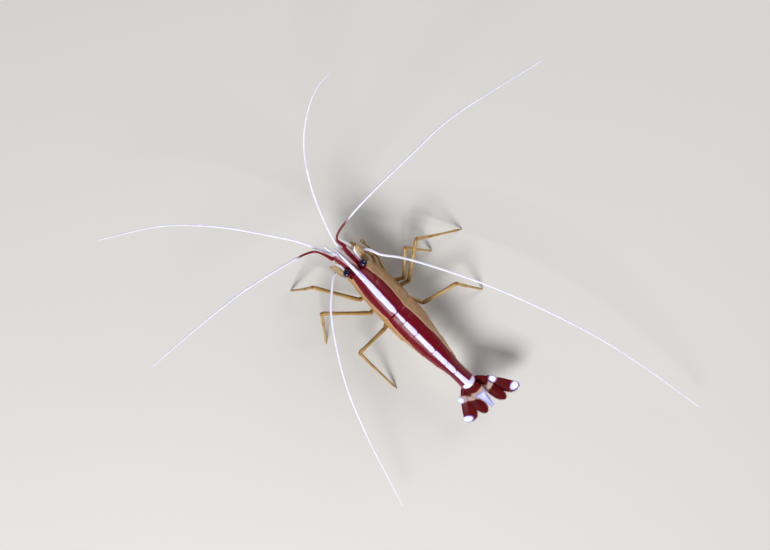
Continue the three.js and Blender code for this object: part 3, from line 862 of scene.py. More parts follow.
def limb_skin(name, joints, radii, sides=14, span=LIMB_SPAN):
    path, sizes, away = limb_path(joints, radii, span)
    skin = tube_skin(name, path, sizes, sides)
    last = len(path) - 1
    chart(skin, "limb", lambda u, v: (away[round(v * last)], v))
    close_skin(skin)
    return skin


def bristle_skin(name, bristles):
    """Many fine hairs or spines in one mesh. Each is (root, tip, root radius) in millimetres."""
    corners, faces = [], []
    for root, tip, radius in bristles:
        heading = (tip - root).normalized()
        across = heading.orthogonal().normalized()
        above = heading.cross(across)
        first = len(corners)
        for share, size in ((0, 1), (0.55, 0.7)):
            centre = root.lerp(tip, share) + above * (0.04 * share * (tip - root).length)
            for side in range(3):
                turn = side * math.tau / 3
                corners.append(centre + across * (radius * size * math.cos(turn))
                               + above * (radius * size * math.sin(turn)))
        corners.append(tip)
        faces.append((first + 2, first + 1, first))
        for side in range(3):
            after = (side + 1) % 3
            faces.append((first + side, first + after, first + 3 + after, first + 3 + side))
            faces.append((first + 3 + side, first + 3 + after, first + 6))
    mesh = bpy.data.meshes.new(name)
    mesh.from_pydata([spot(*corner) for corner in corners], [], faces)
    mesh.update()
    skin = bpy.data.objects.new(name, mesh)
    bpy.context.scene.collection.objects.link(skin)
    mesh.uv_layers.new(name="UVMap")
    limb = mesh.uv_layers.new(name="limb")
    for loop in range(len(mesh.loops)):
        limb.data[loop].uv = (NO_JOINT, 0.5)
    return skin


def limb_spines(joints, radii, i, count, length, facing):
    """Short spines in a row along a limb's i-th span, on the side that faces the given way."""
    heading = (joints[i] - joints[i - 1]).normalized()
    out = (facing - heading * facing.dot(heading)).normalized()
    spines = []
    for n in range(count):
        share = (n + 0.7) / (count + 0.4)
        radius = part_way(radii[i - 1], radii[i], share)
        root = joints[i - 1].lerp(joints[i], share) + out * radius * 0.7
        spines.append((root, root + (out * 0.8 + heading * 0.7) * length, 0.055))
    return spines


limb_amber = amber_finish("limb_amber", (186, 154, 100), (160, 126, 70), (134, 82, 44))
DOWN = Vector((0, 0, -1))
for name, (hip, elbow, knee, foot) in WALKING_LEGS.items():
    hip, elbow, knee, foot = Vector((*hip, HIP_HEIGHT)), Vector(elbow), Vector(knee), Vector(foot)
    base = hip.lerp(elbow, 0.36)
    base.z = HIP_HEIGHT - BASE_DROP
    shin = knee.lerp(foot, 0.3)
    shin.z += SHIN_BOW
    toe = knee.lerp(foot, 0.9)
    toe.z += SHIN_BOW / 2
    claw = toe.lerp(foot, 0.97)
    joints = [hip, base, elbow, knee, shin, toe, claw]
    leg = limb_skin(f"{name}_shell", joints, WALKING_LEG_RADII)
    spines = limb_spines(joints, WALKING_LEG_RADII, 3, 5, 0.55, DOWN)
    inward = (hip - foot).normalized()
    spines += limb_spines(joints, WALKING_LEG_RADII, 5, 9, 0.32, inward)
    spines.append((toe.lerp(foot, 0.35), toe.lerp(foot, 0.8) + inward * 0.25, 0.09))
    join_into(leg, [bristle_skin("leg_spines", spines)])
    hand_in(leg, limb_amber, "amber_limb", name)


# ---- Feeding legs ----
# The first pair ends in a strong pincer. The second pair is thin, its wrist is a row of many short
# rings, and its pincer is small. Both are folded forward under the head.
FEEDING_LEGS = {
    "leg_1": {"joints": [(7.6, 1.8, HIP_HEIGHT), (8, 2.5, 3.9), (11.6, 3.9, 5.1),
                         (14.2, 3.2, 4.4), (16, 2.5, 4)],
              "radii": [0.7, 0.58, 0.48, 0.42, 0.5], "finger": 2.0, "finger_radius": 0.26},
    "leg_2": {"joints": [(5.6, 1.8, HIP_HEIGHT), (5.9, 3, 3.8), (10, 4.4, 4.2),
                         (13.2, 4.2, 2.6), (14.8, 4.1, 2.3)],
              "radii": [0.7, 0.5, 0.34, 0.27, 0.33], "finger": 1.4, "finger_radius": 0.18},
}
SIDES = (("left", 1), ("right", -1))
WRIST_RINGS = 14
WRIST_SPAN = [(0.15, 0.95), (0.5, 1.0), (0.85, 0.98), (1.0, 0.82)]
FINGER_OFFSETS = (0.3, -0.3)


def finger_skin(wrist, heading, offset, finger, radius):
    """One finger of a pincer, curved so that the two tips meet."""
    path, radii = [], []
    for step in range(11):
        share = step / 10
        centre = wrist + heading * (finger * share - 0.3)
        centre.y += offset * (0.75 + 0.5 * math.sin(math.pi * share) - 0.55 * share)
        path.append(centre)
        radii.append(radius * (1 - share ** 3) ** 0.6 if 0 < step < 10 else 0)
    skin = tube_skin("finger", path, radii, 10)
    plain_limb_chart(skin)
    close_skin(skin)
    return skin


for leg_name, shape in FEEDING_LEGS.items():
    for side_name, side in SIDES:
        joints = [Vector((x, y * side, z)) for x, y, z in shape["joints"]]
        radii = shape["radii"]
        if leg_name == "leg_2":
            upper = limb_skin(f"{leg_name}_{side_name}_shell", joints[:3], radii[:3])
            counts = range(WRIST_RINGS + 1)
            knuckles = [joints[2].lerp(joints[3], n / WRIST_RINGS) for n in counts]
            thickness = [radii[2] * 0.9 + (radii[3] - radii[2]) * n / WRIST_RINGS for n in counts]
            ringed = limb_skin("wrist", knuckles + [joints[4]], thickness + [radii[4]], span=WRIST_SPAN)
            leg = join_into(upper, [ringed])
        else:
            leg = limb_skin(f"{leg_name}_{side_name}_shell", joints, radii)
        heading = (joints[-1] - joints[-2]).normalized()
        fingers = [finger_skin(joints[-1], heading, offset, shape["finger"], shape["finger_radius"])
                   for offset in FINGER_OFFSETS]
        join_into(leg, fingers)
        hand_in(leg, limb_amber, "amber_limb", f"{leg_name}_{side_name}")


# ---- Jaw feet ----
# The third pair of jaw legs is long and reaches out beside the rostrum. Rows of stiff bristles
# make a brush of the last two lengths, which are white towards the tip.
JAW_FOOT_JOINTS = {
    "left": [(9.6, 1.15, HIP_HEIGHT), (10.2, 1.3, 4), (14.2, 1.7, 3.9),
             (18.2, 2.1, 7), (22, 2.35, 8.9)],
    "right": [(9.6, -1.15, HIP_HEIGHT), (10.2, -1.3, 4), (14.2, -1.7, 3.9),
              (18.2, -1.9, 7), (21.4, -1.45, 8.9)],
}
JAW_FOOT_RADII = [0.6, 0.52, 0.44, 0.36, 0.16]
BRUSH_SPANS = (3, 4)
BRUSH_BRISTLES = 46


def tipped_finish():
    """Amber at the root, opaque bluish white from two thirds of the length on."""
    finish, tree, shader = new_finish("white_tipped_limb")
    marks = cuticle_marks(tree)
    amber = cloudy(tree, marks, (186, 154, 100), (160, 126, 70))
    white = cloudy(tree, marks, (246, 246, 255), (226, 228, 248))
    reach = wavering(tree, marks, map_parts(tree, "limb")[1], 0.1)
    tipped = blend_colour(tree, edge_mask(tree, reach, 0.58, 0.7), amber, white)
    living_shell(tree, shader, tipped, 0.36, 0.25, 0.2)
    skin_bump(tree, shader, marks["Grain"], 0.2)
    return finish


white_tipped = tipped_finish()
for side_name, side in SIDES:
    joints = [Vector(joint) for joint in JAW_FOOT_JOINTS[side_name]]
    jaw_foot = limb_skin(f"jaw_foot_{side_name}_shell", joints, JAW_FOOT_RADII)
    dice = random.Random(31 + side)
    brush = []
    for span in BRUSH_SPANS:
        heading = (joints[span] - joints[span - 1]).normalized()
        inner = Vector((0, -side, -0.6))
        inner = (inner - heading * inner.dot(heading)).normalized()
        third = heading.cross(inner)
        for n in range(BRUSH_BRISTLES):
            share = (n + dice.random()) / BRUSH_BRISTLES
            out = (inner + third * dice.uniform(-0.7, 0.7)).normalized()
            radius = part_way(JAW_FOOT_RADII[span - 1], JAW_FOOT_RADII[span], share)
            root = joints[span - 1].lerp(joints[span], share) + out * radius * 0.7
            brush.append((root, root + (out * 0.5 + heading * 0.5) * dice.uniform(0.4, 0.75), 0.022))
    join_into(jaw_foot, [bristle_skin("brush", brush)])
    hand_in(jaw_foot, white_tipped, "amber_limb", f"jaw_foot_{side_name}")


# ---- Mouthparts ----
# A lobed pad of flesh holds the mouth. Eight leaf-shaped jaws, thin amber plates fringed with short
# hairs, overlap under it in two rows, one on either side of the middle line.
MOUTH_PLACE = (12.2, 0, 6.6)
MOUTH_SIZE = (1.3, 1.4, 0.8)
JAW_LAYERS = 4
LEAF_HAIRS = 34


def mouth_place(u, v):
    turn, rise = u * math.tau, (v - 0.5) * math.pi
    leaf = 1 + 0.12 * math.cos(5 * (turn + 0.6 * v)) * math.cos(rise)
    cleft = 1 - 0.25 * bump(math.sin(turn), 0, 0.18) * (1 if rise < 0.3 else 0)
    return (MOUTH_PLACE[0] + MOUTH_SIZE[0] * math.cos(turn) * math.cos(rise) * leaf * cleft * 0.9,
            MOUTH_PLACE[1] + MOUTH_SIZE[1] * math.sin(turn) * math.cos(rise) * leaf * 0.95,
            MOUTH_PLACE[2] + MOUTH_SIZE[2] * math.sin(rise))


def leaf_skin(name, root, heading, across, length, half_width):
    """A thin leaf along a heading, with its fringe of hairs."""
    above = heading.cross(across)

    def place(u, v):
        turn = u * math.tau
        swell = max(math.sin(math.pi * (0.06 + 0.94 * v)), 0) ** 0.6 if v < 1 - 1e-4 else 0
        width = half_width * swell * math.cos(turn)
        thickness = 0.09 * swell * (1 + 0.8 * bump(math.cos(turn), 0, 0.2)) if v > 1e-4 else 0
        return root + heading * (length * v) + across * width + above * (thickness * math.sin(turn))

    skin = grid_skin(name, 18, 16, place)
    plain_limb_chart(skin)
    close_skin(skin, 70)
    fringe = []
    for edge, out in ((0.0, across), (0.5, -across)):
        for n in range(LEAF_HAIRS):
            v = 0.15 + 0.83 * n / (LEAF_HAIRS - 1)
            start = Vector(place(edge, v))
            lean = v ** 2 * 2
            tip = start + (out + heading * (0.7 + lean)).normalized() * 0.55
            fringe.append((start - out * 0.04, tip, 0.016))
    return join_into(skin, [bristle_skin("hairs", fringe)])


mouth = grid_skin("mouthparts_skin", 60, 30, capped(mouth_place))
plain_limb_chart(mouth)
close_skin(mouth)
jaws = []
for layer in range(JAW_LAYERS):
    for side in (1, -1):
        root = Vector((11.7 + 0.45 * layer, side * (0.75 - 0.12 * layer), 7.2 - 0.12 * layer))
        heading = Vector((0.3 + 0.12 * layer, side * (0.1 - 0.12 * layer), -1)).normalized()
        sideways = Vector((0.25, side, 0))
        across = (sideways - heading * heading.dot(sideways)).normalized()
        jaws.append(leaf_skin("jaw", root, heading, across, 1.55 - 0.12 * layer, 0.8 - 0.09 * layer))
join_into(mouth, jaws)
hand_in(mouth, flesh, "amber_limb", "mouthparts")


# ---- Eyes and eyestalks ----
# Round, glossy navy eyes on short red stalks. The cornea is a fine net of facets, and a rim of
# cuticle holds it on the stalk.
EYESTALK_ROOTS = {"left": (13, 1.2, 12.2), "right": (12.8, -1.4, 12.2)}
# The stalk's rings, as (share of the way to the eye, radius).
EYESTALK_RINGS = [(0, 0.42), (0.1, 0.5), (0.3, 0.52), (0.5, 0.6), (0.66, 0.74), (0.8, 0.84), (0.92, 0.9),
                  (0.97, 0.84), (1.0, 0.7)]
STALK_REACH = 0.86


def eye_finish():
    """Glossy navy, in a fine net of facets."""
    finish, tree, shader = new_finish("faceted_eye")
    place = tree.nodes.new("ShaderNodeTexCoord")
    facets = place_node(tree, "ShaderNodeTexVoronoi", Vector=place.outputs["Object"], Scale=13000.0,
                        Randomness=0.15)
    sheen = place_node(tree, "ShaderNodeTexNoise", Vector=place.outputs["Object"], Scale=700.0)
    navy = blend_colour(tree, sheen.outputs["Fac"], paint(4, 5, 20), paint(12, 13, 46))
    net = blend_colour(tree, edge_mask(tree, facets.outputs["Distance"], 0.3, 0.62), navy, paint(20, 22, 58))
    tree.links.new(net, shader.inputs["Base Color"])
    shader.inputs["Roughness"].default_value = 0.16
    shader.inputs["Specular IOR Level"].default_value = 0.25
    shader.inputs["Coat Weight"].default_value = 0.5
    shader.inputs["Coat Roughness"].default_value = 0.04
    skin_bump(tree, shader, calculate(tree, "SUBTRACT", 1.0, facets.outputs["Distance"]), 0.35)
    return finish


def stem_finish():
    """Crimson outside, pale pink on the side that faces inward."""
    finish, tree, shader = new_finish("red_stem")
    marks = cuticle_marks(tree)
    from_joint, facing = map_parts(tree, "limb")
    inner = wavering(tree, marks, facing, 0.3)
    crimson = cloudy(tree, marks, (112, 0, 20), (130, 2, 28))
    pink = cloudy(tree, marks, (232, 196, 204), (214, 150, 160))
    body = blend_colour(tree, edge_mask(tree, inner, 0.4, 0.75), crimson, pink)
    near = scaled(tree, edge_mask(tree, from_joint, 0.3, 0.05), 0.25)
    living_shell(tree, shader, blend_colour(tree, near, body, paint(96, 0, 20)), 0.32, 0.1)
    skin_bump(tree, shader, marks["Grain"], 0.25)
    return finish


glass_eye = eye_finish()
red_stem = stem_finish()


def stem_chart(skin, path, away, inward):
    """Marks how far each side of a stem faces the given way, from -1 to 1."""
    last = len(path) - 1
    frames = path_frames(path)

    def reading(u, v):
        across, above = frames[round(v * last)]
        turn = u * math.tau
        facing = (across * math.cos(turn) + above * math.sin(turn)).dot(inward)
        return away[round(v * last)], facing

    chart(skin, "limb", reading)


for side_name, side in SIDES:
    low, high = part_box(f"eye_{side_name}")
    eye_radius = (high.x - low.x) / 2
    bpy.ops.object.select_all(action="DESELECT")
    bpy.ops.mesh.primitive_uv_sphere_add(segments=48, ring_count=32, radius=eye_radius,
                                         location=(low + high) / 2)
    eye = bpy.context.object
    eye.name = f"cornea_{side_name}"
    bpy.ops.object.transform_apply(location=True)
    bpy.ops.object.shade_smooth()
    hand_in(eye, glass_eye, "eye", f"eye_{side_name}")
    centre = ((low + high) / 2 - home) / MM
    root = Vector(EYESTALK_ROOTS[side_name])
    outward = (centre - root).normalized()
    path, radii = [root - outward * 0.02], [0]
    for share, radius in EYESTALK_RINGS:
        path.append(root + outward * (centre - root).length * share * STALK_REACH)
        radii.append(radius)
    path.append(path[-1] + outward * 0.02)
    radii.append(0)
    stalk = tube_skin(f"eyestalk_{side_name}_skin", path, radii, 24)
    stem_chart(stalk, path, [NO_JOINT] * len(path), Vector((0.5, 0, -0.85)))
    close_skin(stalk)
    hand_in(stalk, red_stem, "red_limb", f"eyestalk_{side_name}")


# ---- Antennule stems ----
# Three short tubes of shell in a row carry the two upper feelers of each side. A thin spine lies
# along the outer side of the first. They are crimson outside and pale pink inside.
ANTENNULE_JOINTS = {
    "left": [(12.6, 0.9, 10.7), (16.5, 1.35, 11.6), (18.2, 1.6, 12), (19.6, 1.8, 12.4)],
    "right": [(12.6, -0.95, 10.7), (16.6, -1.25, 11.6), (18.4, -1.35, 12), (19.8, -1.4, 12.4)],
}
ANTENNULE_RADII = [0.68, 0.7, 0.62, 0.56]
STEM_SPAN = [(0.03, 0.97), (0.2, 0.95), (0.5, 0.96), (0.8, 1.0), (0.94, 1.03), (0.985, 0.97)]
LANCE_PATH = [(13.6, 1.5, 11), (14.0, 1.75, 11.1), (15.2, 1.95, 11.35), (16.2, 1.95, 11.6)]
LANCE_RADII = [0, 0.26, 0.2, 0]
for side_name, side in SIDES:
    joints = [Vector(joint) for joint in ANTENNULE_JOINTS[side_name]]
    path, sizes, away = limb_path(joints, ANTENNULE_RADII, STEM_SPAN)
    stem = tube_skin(f"antennule_stem_{side_name}_shell", path, sizes, 20, 0.9)
    stem_chart(stem, path, away, Vector((0, -side, 0.1)))
    close_skin(stem)
    lance_path = [Vector((x, side * y, z)) for x, y, z in LANCE_PATH]
    lance = tube_skin("lance", lance_path, LANCE_RADII, 8, 0.6)
    plain_limb_chart(lance)
    close_skin(lance)
    join_into(stem, [lance])
    hand_in(stem, red_stem, "red_limb", f"antennule_stem_{side_name}")


# ---- Antenna stems and scales ----
# Each lower feeler grows from three short knuckles. A broad clear blade, stiffened on its outer
# edge and fringed with hairs on the inner one, lies over it like a rudder.
ANTENNA_JOINTS = [(12.4, 2.5, 8.6), (13.4, 2.8, 8.95), (14.4, 3.12, 9.25), (15.3, 3.55, 9.65)]
ANTENNA_RADII = [0.95, 0.9, 0.72, 0.55]
SCALE_START = (13.5, 3.05, 10.9)
SCALE_LENGTH = 5.1
SCALE_RISE = math.radians(4)
SCALE_SPLAY = math.radians(6)
SCALE_OUTER_WIDTHS = [(0, 0.45), (0.2, 0.85), (0.6, 0.95), (0.9, 0.8), (1, 0.75)]
SCALE_INNER_WIDTHS = [(0, 0.45), (0.3, 1.2), (0.6, 1.35), (0.85, 0.95), (1, 0.2)]
SCALE_HAIRS = 70
CLEAR_ALPHA = 0.6


def scale_finish():
    """Clear olive amber with a dark outer rib and a white inner edge, both of them opaque."""
    finish, tree, shader = new_finish("clear_blade")
    marks = cuticle_marks(tree)
    inward = map_parts(tree, "limb")[0]
    amber = cloudy(tree, marks, (196, 170, 126), (172, 138, 88))
    ribbed = blend_colour(tree, edge_mask(tree, inward, -0.2, -0.9), amber, paint(152, 114, 72))
    milky = blend_colour(tree, edge_mask(tree, inward, 0.5, 0.62), ribbed, paint(232, 234, 255))
    opaque_edge = edge_mask(tree, inward, 0.45, 0.6)
    opaque_rib = edge_mask(tree, inward, -0.5, -0.8)
    opaque = scaled(tree, calculate(tree, "MAXIMUM", opaque_edge, opaque_rib), 1 - CLEAR_ALPHA)
    tree.links.new(calculate(tree, "ADD", opaque, CLEAR_ALPHA), shader.inputs["Alpha"])
    living_shell(tree, shader, milky, 0.28, 0.15, 0.2)
    skin_bump(tree, shader, marks["Grain"], 0.2)
    return finish


clear_blade = scale_finish()


def scale_maker(side):
    turn = Matrix.Rotation(side * SCALE_SPLAY, 3, "Z") @ Matrix.Rotation(-SCALE_RISE, 3, "Y")
    start = Vector((SCALE_START[0], side * SCALE_START[1], SCALE_START[2]))

    def place(u, v):
        angle = u * math.tau
        reach = math.cos(angle)
        width = reach * between(v, SCALE_OUTER_WIDTHS if reach > 0 else SCALE_INNER_WIDTHS)
        length = SCALE_LENGTH * (v * (0.9 + 0.1 * max(0, reach) ** 2) + 0.02 * bump(reach, 1, 0.15) * v ** 8)
        rib = 0.16 * bump(reach, 0.8, 0.2) + 0.05 * bump(reach, 0.1, 0.15)
        thick = 0 if at_end(v) else (0.1 + rib) * (1 - 0.5 * v)
        local = Vector((length, side * width, math.sin(angle) * thick + 0.1 * (1 - (width / 1.3) ** 2)))
        return start + turn @ local

    return place


for side_name, side in SIDES:
    joints = [Vector((x, y * side, z)) for x, y, z in ANTENNA_JOINTS]
    stem = limb_skin(f"antenna_stem_{side_name}_shell", joints, ANTENNA_RADII, sides=18)
    hand_in(stem, limb_amber, "amber_limb", f"antenna_stem_{side_name}")
    place = scale_maker(side)
    scale = grid_skin(f"antenna_scale_{side_name}_blade", 28, 40, place)
    chart(scale, "limb", lambda u, v: (-math.cos(u * math.tau), v))
    close_skin(scale, 70)
    fringe = []
    for n in range(SCALE_HAIRS):
        v = 0.25 + 0.74 * n / (SCALE_HAIRS - 1)
        root = Vector(place(0.5, v))
        after = Vector(place(0.5, min(v + 0.02, 1)))
        heading = (after - root).normalized() if (after - root).length > 1e-6 else Vector((1, 0, 0))
        out = heading.cross(Vector((0, 0, -side)))
        fringe.append((root - out * 0.03, root + out * 0.42 + heading * 0.35, 0.018))
    join_into(scale, [bristle_skin("scale_fringe", fringe)])
    hand_in(scale, clear_blade, "amber_limb", f"antenna_scale_{side_name}")


# ---- Feelers ----
# Six long whips of hundreds of tiny rings, thick at the root and hair-fine at the tip. They are
# milky white. The outer upper pair is crimson as far as its bend.
# Each has its root's radius, the length of its crimson part and the points that it turns through.
FEELERS = {
    "antennule_inner_flagellum_right": (0.34, 0, [
        (20.2, -0.8, 12.4), (24, -1.6, 14.4), (32, -4.5, 16.9), (39.3, -8, 19.1), (46.6, -12.9, 21.4),
        (52, -18.8, 23.5), (55.2, -24.5, 25), (56.1, -29.3, 26)]),
    "antennule_outer_flagellum_right": (0.5, 9.5, [
        (20.3, -1.95, 12.8), (22.8, -2, 14.2), (23.9, -3.2, 14.7), (25.1, -7.1, 15.5),
        (26.4, -14.2, 17), (28, -30.2, 19.9), (28.7, -41, 21.5), (25.5, -65.7, 24)]),
    "antennule_inner_flagellum_left": (0.34, 0, [
        (20, 1.15, 12.2), (22.8, 2.5, 12.9), (29.1, 5, 14.9), (36.5, 9.2, 17.2), (43.3, 13.6, 18.8),
        (49.5, 18.6, 20.2), (54.9, 24.2, 21.4), (62.3, 36.2, 23)]),
    "antennule_outer_flagellum_left": (0.5, 9.5, [
        (20, 2.35, 12.9), (22.3, 2.8, 13.9), (24.2, 3.7, 14.4), (25.3, 5.3, 14.9), (26.2, 7.7, 15.5),
        (29.3, 21.2, 17.9), (30.3, 31.3, 19.1), (30.8, 49.5, 20)]),
    "antenna_flagellum_right": (0.36, 0, [
        (15.5, -3.95, 9.8), (15, -5.1, 10.5), (12.4, -6.4, 11.1), (8.9, -9.5, 12), (2.2, -13.9, 13.1),
        (-12.8, -21.8, 14.2), (-35.9, -30.2, 12.9), (-52.5, -33.9, 10.5), (-73, -36.9, 6)]),
    "antenna_flagellum_left": (0.34, 0, [
        (15.5, 3.95, 9.8), (15.8, 5, 10.6), (13.3, 8.2, 12.2), (9.4, 11.9, 13.2), (-4.5, 20.3, 14.2),
        (-18.8, 26.2, 12.5), (-42.2, 34.2, 6)]),
}
FEELER_TIP = 0.11
FEELER_SHANK = 0.29
FEELER_TUCK = 0.6
RING_PITCH = 0.42
# One tiny ring, as (share of its length, swelling, 0 in the groove before it or 1 on it).
RING_PROFILE = [(0.12, 0.95, 0), (0.5, 1.0, 1), (0.9, 1.02, 1)]


def smooth_route(turning_points):
    """A smooth curve through the turning points (a centripetal Catmull-Rom spline)."""
    steps = 40
    points = [Vector(point) for point in turning_points]
    points = [2 * points[0] - points[1], *points, 2 * points[-1] - points[-2]]
    route = []
    for p0, p1, p2, p3 in zip(points, points[1:], points[2:], points[3:]):
        t0 = 0
        t1 = t0 + (p1 - p0).length ** 0.5
        t2 = t1 + (p2 - p1).length ** 0.5
        t3 = t2 + (p3 - p2).length ** 0.5
        for step in range(steps):
            t = t1 + (t2 - t1) * step / steps
            a1 = p0 * ((t1 - t) / (t1 - t0)) + p1 * ((t - t0) / (t1 - t0))
            a2 = p1 * ((t2 - t) / (t2 - t1)) + p2 * ((t - t1) / (t2 - t1))
            a3 = p2 * ((t3 - t) / (t3 - t2)) + p3 * ((t - t2) / (t3 - t2))
            b1 = a1 * ((t2 - t) / (t2 - t0)) + a2 * ((t - t0) / (t2 - t0))
            b2 = a2 * ((t3 - t) / (t3 - t1)) + a3 * ((t - t1) / (t3 - t1))
            route.append(b1 * ((t2 - t) / (t2 - t1)) + b2 * ((t - t1) / (t2 - t1)))
    route.append(points[-2])
    return route


def along_route(route, stops):
    """The points at the given distances along a route."""
    lengths = path_lengths(route)
    found, i = [], 0
    for stop in stops:
        while i < len(lengths) - 2 and lengths[i + 1] < stop:
            i += 1
        share = (stop - lengths[i]) / (lengths[i + 1] - lengths[i])
        found.append(route[i].lerp(route[i + 1], clamped(share)))
    return found


def feeler_finish():
    """Milky white with a faint violet line at each joint, and crimson before the chart's zero."""
    finish, tree, shader = new_finish("white_feeler")
    marks = cuticle_marks(tree)
    past_red, raised = map_parts(tree, "limb")
    white = cloudy(tree, marks, (240, 240, 254), (220, 218, 248))
    joint = scaled(tree, edge_mask(tree, raised, 0.3, 0.0), 0.3)
    ringed = blend_colour(tree, joint, white, paint(176, 160, 208))
    red_share = edge_mask(tree, wavering(tree, marks, past_red, 1.2), 1.6, -1.2)
    living_shell(tree, shader, blend_colour(tree, red_share, ringed, paint(116, 0, 20)), 0.38, 0.15, 0.15)
    return finish


white_feeler = feeler_finish()
for name, (thick, red_reach, route) in FEELERS.items():
    route = smooth_route(route)
    route.insert(0, route[0] + (route[0] - route[1]).normalized() * FEELER_TUCK)
    total = path_lengths(route)[-1]
    stops, radii, raised = [0, 0.05], [0, thick * 0.9], [1, 1]
    stop = 0.1
    while stop < total - RING_PITCH:
        share = stop / total
        root_swell = (thick - FEELER_SHANK) * (1 - min(stop / 4, 1)) ** 1.2
        radius = part_way(FEELER_TIP, FEELER_SHANK, (1 - share) ** 0.8) + root_swell
        pitch = RING_PITCH * (0.8 + 0.9 * share)
        for part, swell, height in RING_PROFILE:
            stops.append(stop + part * pitch)
            radii.append(radius * swell)
            raised.append(height)
        stop += pitch
    stops.append(min(stop + 0.1, total))
    radii.append(0)
    raised.append(1)
    path = along_route(route, stops)
    feeler = tube_skin(f"{name}_whip", path, radii, 10)
    last = len(path) - 1
    chart(feeler, "limb", lambda u, v: (stops[round(v * last)] - red_reach if red_reach else 99,
                                        raised[round(v * last)]))
    close_skin(feeler, 80)
    hand_in(feeler, white_feeler, "feeler", name)


# ---- Tail fan ----
# The middle blade, the telson, and two blades each side on short bases. They are dark red with
# white spots by the roots and tips, a clear band across the roots and a bluish white middle.
FAN_SLOPE = math.radians(11)
FAN_ROLL = math.radians(7.5)
fan_turn = (Matrix.Rotation(math.pi, 3, "Z") @ Matrix.Rotation(FAN_SLOPE, 3, "Y")
            @ Matrix.Rotation(FAN_ROLL, 3, "X"))
fan_root = Vector(back_point(ring_start(6), 0, 0))


def fan_point(behind, right, above):
    """A point of the fan: millimetres behind the end of the back, to its right and above it."""
    return fan_root + fan_turn @ Vector((behind, right, above))


def tail_finish(name, white, glow):
    """Blackish red, clear rosy beige and a chalky white that glows violet at its edges."""
    finish, tree, shader = new_finish(name)
    marks = cuticle_marks(tree)
    red_inset, white_inset = map_parts(tree, "tail")
    in_red = wavering(tree, marks, red_inset, 0.14)
    in_white = wavering(tree, marks, white_inset, 0.14)
    clear = cloudy(tree, marks, (180, 160, 156), (156, 130, 124))
    rim = scaled(tree, edge_mask(tree, in_red, -0.35, -0.05), 0.8)
    rimmed = blend_colour(tree, rim, clear, paint(150, 84, 34))
    red = dotted(tree, marks, 0.3, cloudy(tree, marks, (70, 0, 3), (90, 0, 8)), (52, 0, 4))
    blade = blend_colour(tree, edge_mask(tree, in_red, -0.08, 0.1), rimmed, red)
    halo = blend_colour(tree, edge_mask(tree, in_white, -0.26, 0.04), blade, paint(136, 120, 224))
    chalk = cloudy(tree, marks, white, glow)
    spotted = blend_colour(tree, edge_mask(tree, in_white, -0.08, 0.22), halo, chalk)
    living_shell(tree, shader, spotted, 0.42, 0.1, 0.03)
    shader.inputs["Specular IOR Level"].default_value = 0.12
    skin_bump(tree, shader, marks["Grain"], 0.2)
    return finish


tail_blades = tail_finish("tail_blades", (232, 233, 252), (206, 208, 248))
telson_blade = tail_finish("telson_blade", (206, 212, 252), (160, 170, 246))
BASE_SPOTS = ((3.6, 4.45), (3.35, -5.3))
BASE_SPOT_RADIUS = 0.85
TIP_SPOT = (8.95, 7.3)
TIP_SPOT_SIZE = (0.98, 1.3)
# A blade's "outer" and "inner" half widths are (at the root, at the widest, its place, at the tip).
BLADES = {
    "exopod": {"start": 2.56, "side": 3.26, "height": -2.65, "angle": 28.5, "swing": 0, "length": 8.65,
               "outer": (1.0, 1.55, 0.65, 1.3), "inner": (0.9, 2.0, 0.6, 1.35), "tip": 0.16},
    "endopod": {"start": 2.2, "side": 2.24, "height": -2.15, "angle": 5, "swing": 2, "length": 8.2,
                "outer": (0.8, 1.4, 0.55, 0.95), "inner": (0.9, 1.45, 0.55, 0.9), "tip": 0.24},
}
EXOPOD_ANGLE = math.radians(BLADES["exopod"]["angle"])
BLADE_HAIRS = 90
BAND_FRONT = [(1.3, 2.6), (2.5, 3.6), (3.8, 2.9), (4.8, 2.0)]
BAND_REAR = [(2.3, 5.1), (3.5, 4.75), (5.4, 4.3), (6.5, 4.1)]
ENDOPOD_INNER_LINE = [(5, 2.0), (6.2, 1.3), (8, 0.9), (9.5, 1.2)]
TELSON_SHIFT = 0.25
TELSON_WHITE_START = 3.7
TELSON_WHITE_WIDTHS = [(3.7, 1.2), (6.2, 0.55), (8.7, 0.28)]


def tail_pattern(behind, right, kind):
    """Millimetres inside the red and inside the white, for a place on the fan."""
    aside = abs(right)
    band_front = between(aside, BAND_FRONT)
    band_rear = between(aside, BAND_REAR)
    red = max(band_front - behind, behind - band_rear)
    white = BASE_SPOT_RADIUS - min(math.dist((behind, right), spot_place) for spot_place in BASE_SPOTS)
    if kind == "telson":
        red = 2.6 - 0.25 * aside - behind
        half_width = between(behind, TELSON_WHITE_WIDTHS)
        white = min(half_width - abs(right - TELSON_SHIFT), (behind - TELSON_WHITE_START) * 0.8)
    if kind == "endopod":
        inner_line = between(behind, ENDOPOD_INNER_LINE)
        red = max(band_front - behind, min(behind - band_rear, aside - inner_line))
    if kind == "exopod":
        dx, dy = behind - TIP_SPOT[0], abs(right + 0.15) - TIP_SPOT[1]
        along = dx * math.cos(EXOPOD_ANGLE) + dy * math.sin(EXOPOD_ANGLE)
        across = -dx * math.sin(EXOPOD_ANGLE) + dy * math.cos(EXOPOD_ANGLE)
        white = max(white, (1 - math.hypot(along / TIP_SPOT_SIZE[0], across / TIP_SPOT_SIZE[1])) * 0.9)
    return red, white


def fan_chart(skin, kind):
    """Charts the tail's colours by where each corner lies on the fan."""
    tail_map = skin.data.uv_layers.new(name="tail").data
    back_turn = fan_turn.transposed()
    for loop, corner in enumerate(skin.data.loops):
        place = back_turn @ ((skin.data.vertices[corner.vertex_index].co - home) / MM - fan_root)
        tail_map[loop].uv = tail_pattern(place.x, place.y, kind)


